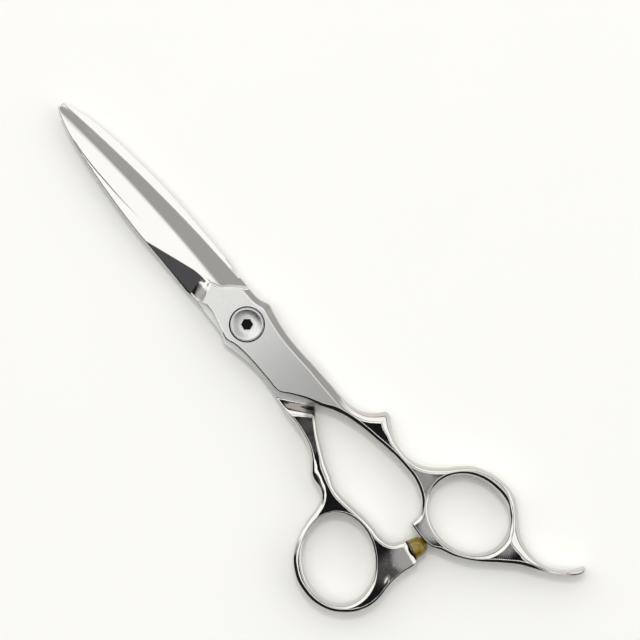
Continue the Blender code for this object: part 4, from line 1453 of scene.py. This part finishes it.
@dataclass
class Bumper:
    """The rubber bumper: a short round post with a full dome and a small moulded lip at its foot."""

    base: Solid = (-68.05, 5.26, 2.75)
    axis: Solid = (-0.187, -0.982, 0.0)
    radius: float = 2.65
    side: float = 1.2
    dome: float = 2.85
    lip: float = 0.3
    lip_step: float = 0.12
    taper: float = 0.06
    count: int = 72
    lip_bands: int = 3
    # The lip's bands take painted shade, standing in for the shadow where the bumper meets the arm.
    lip_shade: float = 0.75

    def profile(self) -> Array:
        """Draws half the bumper's section, from the middle of its foot to the top of its dome.

        Returns:
            Pairs of a radius and a distance from the foot.
        """
        neck, start = self.radius - self.lip_step, self.lip + self.lip_step
        line = [(0.0, 0.0), (self.radius, 0.0), (self.radius, self.lip), (neck, start)]
        line += [(neck - self.taper * t, start + (self.side - start) * t) for t in np.linspace(0.2, 1, 5)]
        crown = neck - self.taper
        bend = np.linspace(0.1, math.pi / 2, 18)
        line += [(crown * math.cos(a), self.side + self.dome * math.sin(a)) for a in bend]
        return np.array(line)

    def build(self) -> Piece:
        """Turns the bumper about its own axis, with hard edges at the lip and a smooth post and dome.

        Returns:
            The bumper.
        """
        line = self.profile()
        smooth = np.gradient(line[self.lip_bands:], axis=0)
        axis = np.array(self.axis) / np.linalg.norm(self.axis)
        side = np.cross(axis, (0.0, 0.0, 1.0))
        side /= np.linalg.norm(side)
        angle = np.arange(self.count) * (2 * math.pi / self.count)
        around = np.cos(angle)[:, None] * side + np.sin(angle)[:, None] * np.cross(axis, side)
        rows = [np.array(self.base) + axis * along + around * radius for radius, along in line]
        shell = Shell()
        for i in range(len(line) - 1):
            runs = [line[i + 1] - line[i]] * 2
            if i > self.lip_bands:
                runs = smooth[i - self.lip_bands : i - self.lip_bands + 2]
            tilts = [around * run[1] - axis * run[0] for run in runs]
            # The lip's bands are darkened with painted shade at the bumper's foot.
            shell.strip(rows[i], rows[i + 1], *tilts, painted_shade=self.lip_shade if i < self.lip_bands else 0.0)
        return shell.object("amber_bumper")

    def dress(self, bumper: Piece, rubber: Material) -> None:
        """Gives the bumper its finish, on the thumb half."""
        fit(bumper, "thumb_half", Slot.RUBBER, rubber, "bumper")


@dataclass(frozen=True)
class PivotInside:
    """The nut, washer and bearing in the pivot and the bumper's stud, which keep their CAD solids."""

    balls: int = 8

    def dress(self, finishes: dict[Slot, Material]) -> None:
        """Gives each solid its finish.

        Args:
            finishes: the material of each slot.
        """
        kept = {
            Slot.STEEL: ["back_nut"],
            Slot.BEARING: ["head_race", "seat_race", *(f"ball_{i + 1}" for i in range(self.balls))],
            Slot.SPRING: ["spring_washer", "bumper_stud"],
            Slot.BRASS: ["ball_cage"],
        }
        for slot, names in kept.items():
            for name in names:
                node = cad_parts[name]
                node.data.materials.clear()
                node.data.materials.append(finishes[slot])
                LOG.info("%s: kept from the CAD model", name)


def fit(piece: Piece, body: str, slot: Slot, material: Material, *nodes: str) -> None:
    """Lets a piece ride a body, stand for CAD nodes and take a finish.

    Args:
        piece: the new piece.
        body: the body that it moves with.
        slot: its material slot.
        material: its finish.
        *nodes: the CAD nodes that it stands for.
    """
    piece.data.materials.append(material)
    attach(piece, body)
    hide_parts(*nodes)
    LOG.info("%s: %d faces, stands for %s", piece.name, len(piece.data.polygons), ", ".join(nodes))


# Finishes


class Nodes:
    """A thin helper for building a material's or a world's node tree."""

    def __init__(self, tree: bpy.types.NodeTree) -> None:
        """Starts from an empty tree."""
        self.tree = tree
        tree.nodes.clear()

    def add(self, kind: str, **settings: object) -> Node:
        """Adds a node.

        Args:
            kind: the node's type.
            **settings: its properties, or its inputs where a name is an input's.

        Returns:
            The node.
        """
        node = self.tree.nodes.new(kind)
        for name, value in settings.items():
            if hasattr(node, name):
                setattr(node, name, value)
            else:
                node.inputs[name.replace("_", " ")].default_value = value
        return node

    def link(self, source: Socket, target: Socket) -> None:
        """Links two sockets."""
        self.tree.links.new(source, target)

    def give(self, value: object, socket: Socket) -> None:
        """Links a socket, or sets a number or a colour, on an input.

        Args:
            value: the socket, number or colour.
            socket: the input.
        """
        if isinstance(value, Socket):
            self.link(value, socket)
        elif isinstance(value, tuple):
            socket.default_value = (*value, 1.0)
        else:
            socket.default_value = value

    def math(self, operation: str, *values: object) -> Socket:
        """Adds a sum of one or two values.

        Args:
            operation: what to do with them.
            *values: sockets or numbers.

        Returns:
            The result.
        """
        node = self.add("ShaderNodeMath", operation=operation)
        for socket, value in zip(node.inputs, values):
            self.give(value, socket)
        return node.outputs[0]

    def ramp(self, value: Socket, low: float, high: float, below: float = 0.0, above: float = 1.0) -> Socket:
        """Adds a smooth change of a value from one range to another.

        Args:
            value: the value.
            low: where the change begins.
            high: where it ends.
            below: the result below it.
            above: the result above it.

        Returns:
            The result.
        """
        node = self.add("ShaderNodeMapRange", interpolation_type="SMOOTHSTEP")
        self.link(value, node.inputs["Value"])
        limits = {"From Min": low, "From Max": high, "To Min": below, "To Max": above}
        for name, number in limits.items():
            node.inputs[name].default_value = number
        return node.outputs["Result"]

    def mix(self, share: Socket, first: object, second: object) -> Socket:
        """Adds a mix of two colours.

        Args:
            share: how much of the second colour there is.
            first: a socket or a colour.
            second: a socket or a colour.

        Returns:
            The mixed colour.
        """
        node = self.add("ShaderNodeMix", data_type="RGBA")
        for index, value in ((0, share), (6, first), (7, second)):
            self.give(value, node.inputs[index])
        return node.outputs[2]

    def add_painted_shade(self, color: Socket) -> Socket:
        """Adds painted shade to a colour where a mesh says so: the dark of gaps, recesses and shaded
        corners.
        """
        mark = self.add("ShaderNodeAttribute", attribute_name="painted_shade")
        return self.mix(mark.outputs["Fac"], color, PAINTED_SHADE_COLOR)

    def noise(self, scale: float, detail: float, spread: Solid = (1.0, 1.0, 1.0)) -> Socket:
        """Adds a noise in the object's own coordinates, in metres.

        Args:
            scale: the noise's scale.
            detail: its detail.
            spread: how much denser it is along each axis.

        Returns:
            The noise, from 0 to 1.
        """
        place = self.add("ShaderNodeTexCoord")
        stretched = self.add("ShaderNodeMapping", Scale=spread)
        self.link(place.outputs["Object"], stretched.inputs["Vector"])
        grain = self.add("ShaderNodeTexNoise", Scale=scale, Detail=detail, Roughness=0.6)
        self.link(stretched.outputs["Vector"], grain.inputs["Vector"])
        return grain.outputs["Fac"]

    def bump(self, height: Socket, distance: float, strength: object, shader: Node) -> None:
        """Adds a fine relief to a shader.

        Args:
            height: the relief.
            distance: its depth in metres.
            strength: a socket or a number.
            shader: the shader that takes it.
        """
        node = self.add("ShaderNodeBump", Distance=distance)
        self.give(strength, node.inputs["Strength"])
        self.link(height, node.inputs["Height"])
        self.link(node.outputs[0], shader.inputs["Normal"])


# Colour of the painted shade in gaps, recesses and shaded corners.
PAINTED_SHADE_COLOR = (0.012, 0.011, 0.01)
SATIN_GRAIN = (0.3, 0.3, 0.3)


@dataclass(frozen=True)
class Finish:
    """What every finish has: a name, a colour, and how rough it is."""

    name: str
    color: Color
    roughness: float

    def begin(self, **settings: object) -> tuple[Material, Nodes, Node]:
        """Starts a material.

        Args:
            **settings: inputs of its shader.

        Returns:
            The material, its nodes and its shader.
        """
        material = bpy.data.materials.new(self.name)
        material.use_nodes = True
        n = Nodes(material.node_tree)
        shader = n.add("ShaderNodeBsdfPrincipled", **settings)
        out = n.add("ShaderNodeOutputMaterial")
        n.link(shader.outputs[0], out.inputs[0])
        return material, n, shader


@dataclass(frozen=True)
class Steel(Finish):
    """Steel that is polished bright, and satin where a mesh says so."""

    satin_color: Color = (0.7, 0.7, 0.69)
    tail_color: Color = (0.38, 0.38, 0.375)
    satin: float = 0.45
    grain: Solid = (1.0, 14.0, 14.0)

    def share(self, n: Nodes) -> Socket:
        """Adds how satin the steel is: a mark up to 1 counts on the flat, and what is above 1 everywhere.

        Args:
            n: the material's nodes.

        Returns:
            The share of satin.
        """
        mark = n.add("ShaderNodeAttribute", attribute_name="satin").outputs["Fac"]
        geometry = n.add("ShaderNodeNewGeometry")
        parts = n.add("ShaderNodeSeparateXYZ")
        n.link(geometry.outputs["Normal"], parts.inputs[0])
        flat = n.ramp(n.math("ABSOLUTE", parts.outputs["Z"]), 0.985, 0.996)
        share = n.math("MULTIPLY", n.math("MINIMUM", mark, 1.0), flat)
        return n.math("MAXIMUM", share, n.math("SUBTRACT", mark, 1.0))

    def dull(self, n: Nodes, cloud: Socket, brushed: Socket) -> Socket:
        """Adds the satin's colour, which darkens from the plate to its tail.

        Args:
            n: the material's nodes.
            cloud: a wide noise.
            brushed: a noise along the brushing.

        Returns:
            The colour.
        """
        place = n.add("ShaderNodeTexCoord")
        along = n.add("ShaderNodeSeparateXYZ")
        n.link(place.outputs["Object"], along.inputs[0])
        tone = n.math("ADD", along.outputs["X"], n.ramp(cloud, 0.3, 0.7, -0.002, 0.002))
        color = n.mix(n.ramp(tone, -0.028, 0.01), self.tail_color, self.satin_color)
        return n.mix(n.ramp(brushed, 0.3, 0.7, 0.12, 0.0), color, SATIN_GRAIN)

    def make(self) -> Material:
        """Makes the material.

        Returns:
            The material.
        """
        material, n, shader = self.begin(Metallic=1.0)
        share = self.share(n)
        brushed = n.noise(420.0, 4.0, self.grain)
        cloud = n.noise(60.0, 3.0)
        smear = n.noise(260.0, 5.0)
        bright = n.mix(cloud, tuple(c * 0.94 for c in self.color), self.color)
        n.link(n.add_painted_shade(n.mix(share, bright, self.dull(n, cloud, brushed))), shader.inputs["Base Color"])
        gloss = n.ramp(smear, 0.35, 0.75, self.roughness * 0.8, self.roughness * 1.5)
        gloss = n.math("MULTIPLY", n.math("SUBTRACT", 1.0, share), gloss)
        n.link(n.math("ADD", gloss, n.math("MULTIPLY", share, self.satin)), shader.inputs["Roughness"])
        n.bump(brushed, 0.00002, n.math("MULTIPLY", share, 0.16), shader)
        return material


@dataclass(frozen=True)
class Metal(Finish):
    """A plain metal with a fine uneven grain."""

    dark: Color

    def make(self) -> Material:
        """Makes the material.

        Returns:
            The material.
        """
        material, n, shader = self.begin(Metallic=1.0)
        grain = n.noise(2400.0, 4.0)
        n.link(n.add_painted_shade(n.mix(n.ramp(grain, 0.35, 0.7), self.dark, self.color)), shader.inputs["Base Color"])
        rough = n.ramp(grain, 0.3, 0.7, self.roughness * 0.8, self.roughness * 1.3)
        n.link(rough, shader.inputs["Roughness"])
        return material


@dataclass(frozen=True)
class Rubber(Finish):
    """Soft translucent moulded rubber with clouded colour."""

    deep: Color

    def make(self) -> Material:
        """Makes the material.

        Returns:
            The material.
        """
        material, n, shader = self.begin(
            Roughness=self.roughness,
            IOR=1.45,
            Coat_Weight=0.6,
            Coat_Roughness=0.06,
            Subsurface_Weight=0.35,
            Subsurface_Radius=(0.0012, 0.0009, 0.0003),
            Subsurface_Scale=1.0,
        )
        cloud = n.ramp(n.noise(320.0, 3.0), 0.35, 0.65)
        n.link(n.add_painted_shade(n.mix(cloud, self.deep, self.color)), shader.inputs["Base Color"])
        n.bump(n.noise(2600.0, 4.0), 0.00004, 0.12, shader)
        return material


@dataclass(frozen=True)
class Paper(Finish):
    """Plain pale paper with a faint cloud."""

    def make(self) -> Material:
        """Makes the material.

        Returns:
            The material.
        """
        material, n, shader = self.begin(Roughness=self.roughness)
        shade = tuple(c * 0.985 for c in self.color)
        n.link(n.mix(n.noise(25.0, 3.0), shade, self.color), shader.inputs["Base Color"])
        return material


# The studio


@dataclass(frozen=True)
class Lamp:
    """A round lamp aimed at the pivot: its name, its size and place in metres, and its power."""

    name: str
    size: float
    energy: float
    spot: Solid
    color: Color = (1.0, 0.985, 0.96)

    def hang(self) -> None:
        """Puts the lamp up, hidden from the steel's reflections."""
        lamp = bpy.data.lights.new(self.name, "AREA")
        lamp.shape = "DISK"
        lamp.size = self.size
        lamp.energy = self.energy
        lamp.color = self.color
        holder = bpy.data.objects.new(self.name, lamp)
        holder.location = self.spot
        holder.rotation_euler = (-holder.location).to_track_quat("-Z", "Y").to_euler()
        holder.visible_glossy = False
        bpy.context.scene.collection.objects.link(holder)


@dataclass(frozen=True)
class Patch:
    """A round patch of the room: its tilt from straight up, its heading and its reach, all in degrees."""

    tilt: float
    toward: float
    inner: float
    outer: float
    color: Color

    @property
    def aim(self) -> Solid:
        """The unit direction of the patch's middle."""
        tilt, toward = math.radians(self.tilt), math.radians(self.toward)
        return math.sin(tilt) * math.cos(toward), math.sin(tilt) * math.sin(toward), math.cos(tilt)


WHITE = (1.6, 1.6, 1.58)
PALE = (1.5, 1.5, 1.48)
GREY = (0.55, 0.547, 0.538)
DARK = (0.12, 0.118, 0.128)
BLACK = (0.02, 0.018, 0.018)


@dataclass
class Studio:
    """The pale floor, the soft light and the camera over the shears."""

    paper: Paper = Paper("floor_paper", (0.94, 0.936, 0.905), 0.85)
    floor_size: float = 4.0
    floor_level: float = -0.00002
    center: Solid = (-10.7, -14.2, 2.75)
    distance: float = 400.0
    width: float = 156.5
    sensor: float = 36.0
    up: Flat = (0.761, -0.649)
    lamps: tuple[Lamp, ...] = (
        Lamp("key", 0.5, 0.2, (0.12, -0.62, 0.75)),
        Lamp("high", 0.1, 1.2, (0.28, -0.24, 0.82)),
    )
    room_color: Color = (0.5, 0.5, 0.49)
    skirting: Color = (0.14, 0.125, 0.11)
    patches: tuple[Patch, ...] = (
        Patch(70.0, -90.0, 24.0, 36.0, WHITE),
        Patch(66.0, -128.0, 18.0, 30.0, PALE),
        Patch(62.0, 0.0, 26.0, 38.0, WHITE),
        Patch(64.0, -45.0, 16.0, 28.0, PALE),
        Patch(12.0, 40.0, 22.0, 40.0, WHITE),
        Patch(43.0, -85.0, 8.0, 22.0, GREY),
        Patch(50.0, 95.0, 20.0, 26.0, DARK),
        Patch(62.0, 72.0, 18.0, 24.0, BLACK),
        Patch(65.0, 95.0, 18.0, 26.0, BLACK),
        Patch(62.0, 135.0, 22.0, 30.0, BLACK),
        Patch(62.0, 172.0, 15.0, 22.0, BLACK),
        Patch(6.0, 165.0, 6.5, 9.0, (0.012, 0.012, 0.013)),
    )

    def floor(self) -> None:
        """Lays the floor that the shears lie on."""
        bpy.ops.mesh.primitive_plane_add(size=self.floor_size, location=(0, 0, self.floor_level))
        floor = bpy.context.object
        floor.name = "floor"
        floor.data.materials.append(self.paper.make())

    def camera(self) -> None:
        """Puts a camera straight above, turned as the photograph is."""
        lens = bpy.data.cameras.new("camera")
        lens.sensor_width = self.sensor
        lens.lens = self.sensor * self.distance / self.width
        lens.clip_start = 0.01
        camera = bpy.data.objects.new("camera", lens)
        up = Vector((*self.up, 0)).normalized()
        back = Vector((0, 0, 1))
        turn = Matrix((up.cross(back), up, back)).transposed().to_4x4()
        place = (Vector(self.center) + back * self.distance) * MM
        camera.matrix_world = Matrix.Translation(place) @ turn
        bpy.context.scene.collection.objects.link(camera)
        bpy.context.scene.camera = camera

    def light(self) -> None:
        """Hangs the lamps and builds a bright room with a few dark places, which the steel reflects."""
        for lamp in self.lamps:
            lamp.hang()
        world = bpy.data.worlds.new("room")
        bpy.context.scene.world = world
        world.use_nodes = True
        n = Nodes(world.node_tree)
        toward = n.add("ShaderNodeTexCoord").outputs["Generated"]
        color: object = self.room_color
        for patch in self.patches:
            near = n.add("ShaderNodeVectorMath", operation="DOT_PRODUCT")
            n.link(toward, near.inputs[0])
            near.inputs[1].default_value = patch.aim
            rim, heart = math.cos(math.radians(patch.outer)), math.cos(math.radians(patch.inner))
            color = n.mix(n.ramp(near.outputs["Value"], rim, heart), color, patch.color)
        height = n.add("ShaderNodeSeparateXYZ")
        n.link(toward, height.inputs[0])
        color = n.mix(n.ramp(height.outputs["Z"], 0.08, 0.16, 1.0, 0.0), color, self.skirting)
        shade = n.add("ShaderNodeBackground", Strength=1.0)
        n.link(color, shade.inputs["Color"])
        out = n.add("ShaderNodeOutputWorld")
        n.link(shade.outputs[0], out.inputs[0])


# Putting it together


def main() -> None:
    """Builds the pieces, the floor, the light and the camera."""
    logging.basicConfig(level=logging.INFO, format="%(message)s")
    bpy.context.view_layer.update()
    steel = Steel("steel_bright", (0.63, 0.615, 0.595), 0.05).make()
    turned = Metal("steel_turned", (0.6, 0.6, 0.6), 0.32, (0.57, 0.57, 0.57)).make()
    rubber = Rubber("rubber_amber", (0.22, 0.145, 0.003), 0.12, (0.13, 0.08, 0.001)).make()
    inside = {
        Slot.STEEL: steel,
        Slot.BEARING: Metal("steel_ground", (0.6, 0.6, 0.62), 0.25, (0.5, 0.5, 0.52)).make(),
        Slot.SPRING: Metal("steel_dark", (0.4, 0.4, 0.42), 0.35, (0.32, 0.32, 0.34)).make(),
        Slot.BRASS: Metal("brass_plain", (0.72, 0.53, 0.24), 0.3, (0.6, 0.43, 0.18)).make(),
    }
    for half in (upper_half(), lower_half()):
        half.dress(*half.build(), steel)
    screw, bumper = Screw(), Bumper()
    screw.dress(screw.build(), turned)
    bumper.dress(bumper.build(), rubber)
    PivotInside().dress(inside)
    studio = Studio()
    studio.floor()
    studio.camera()
    studio.light()
    bpy.context.scene.view_settings.view_transform = "Standard"


if __name__ == "__main__":
    main()
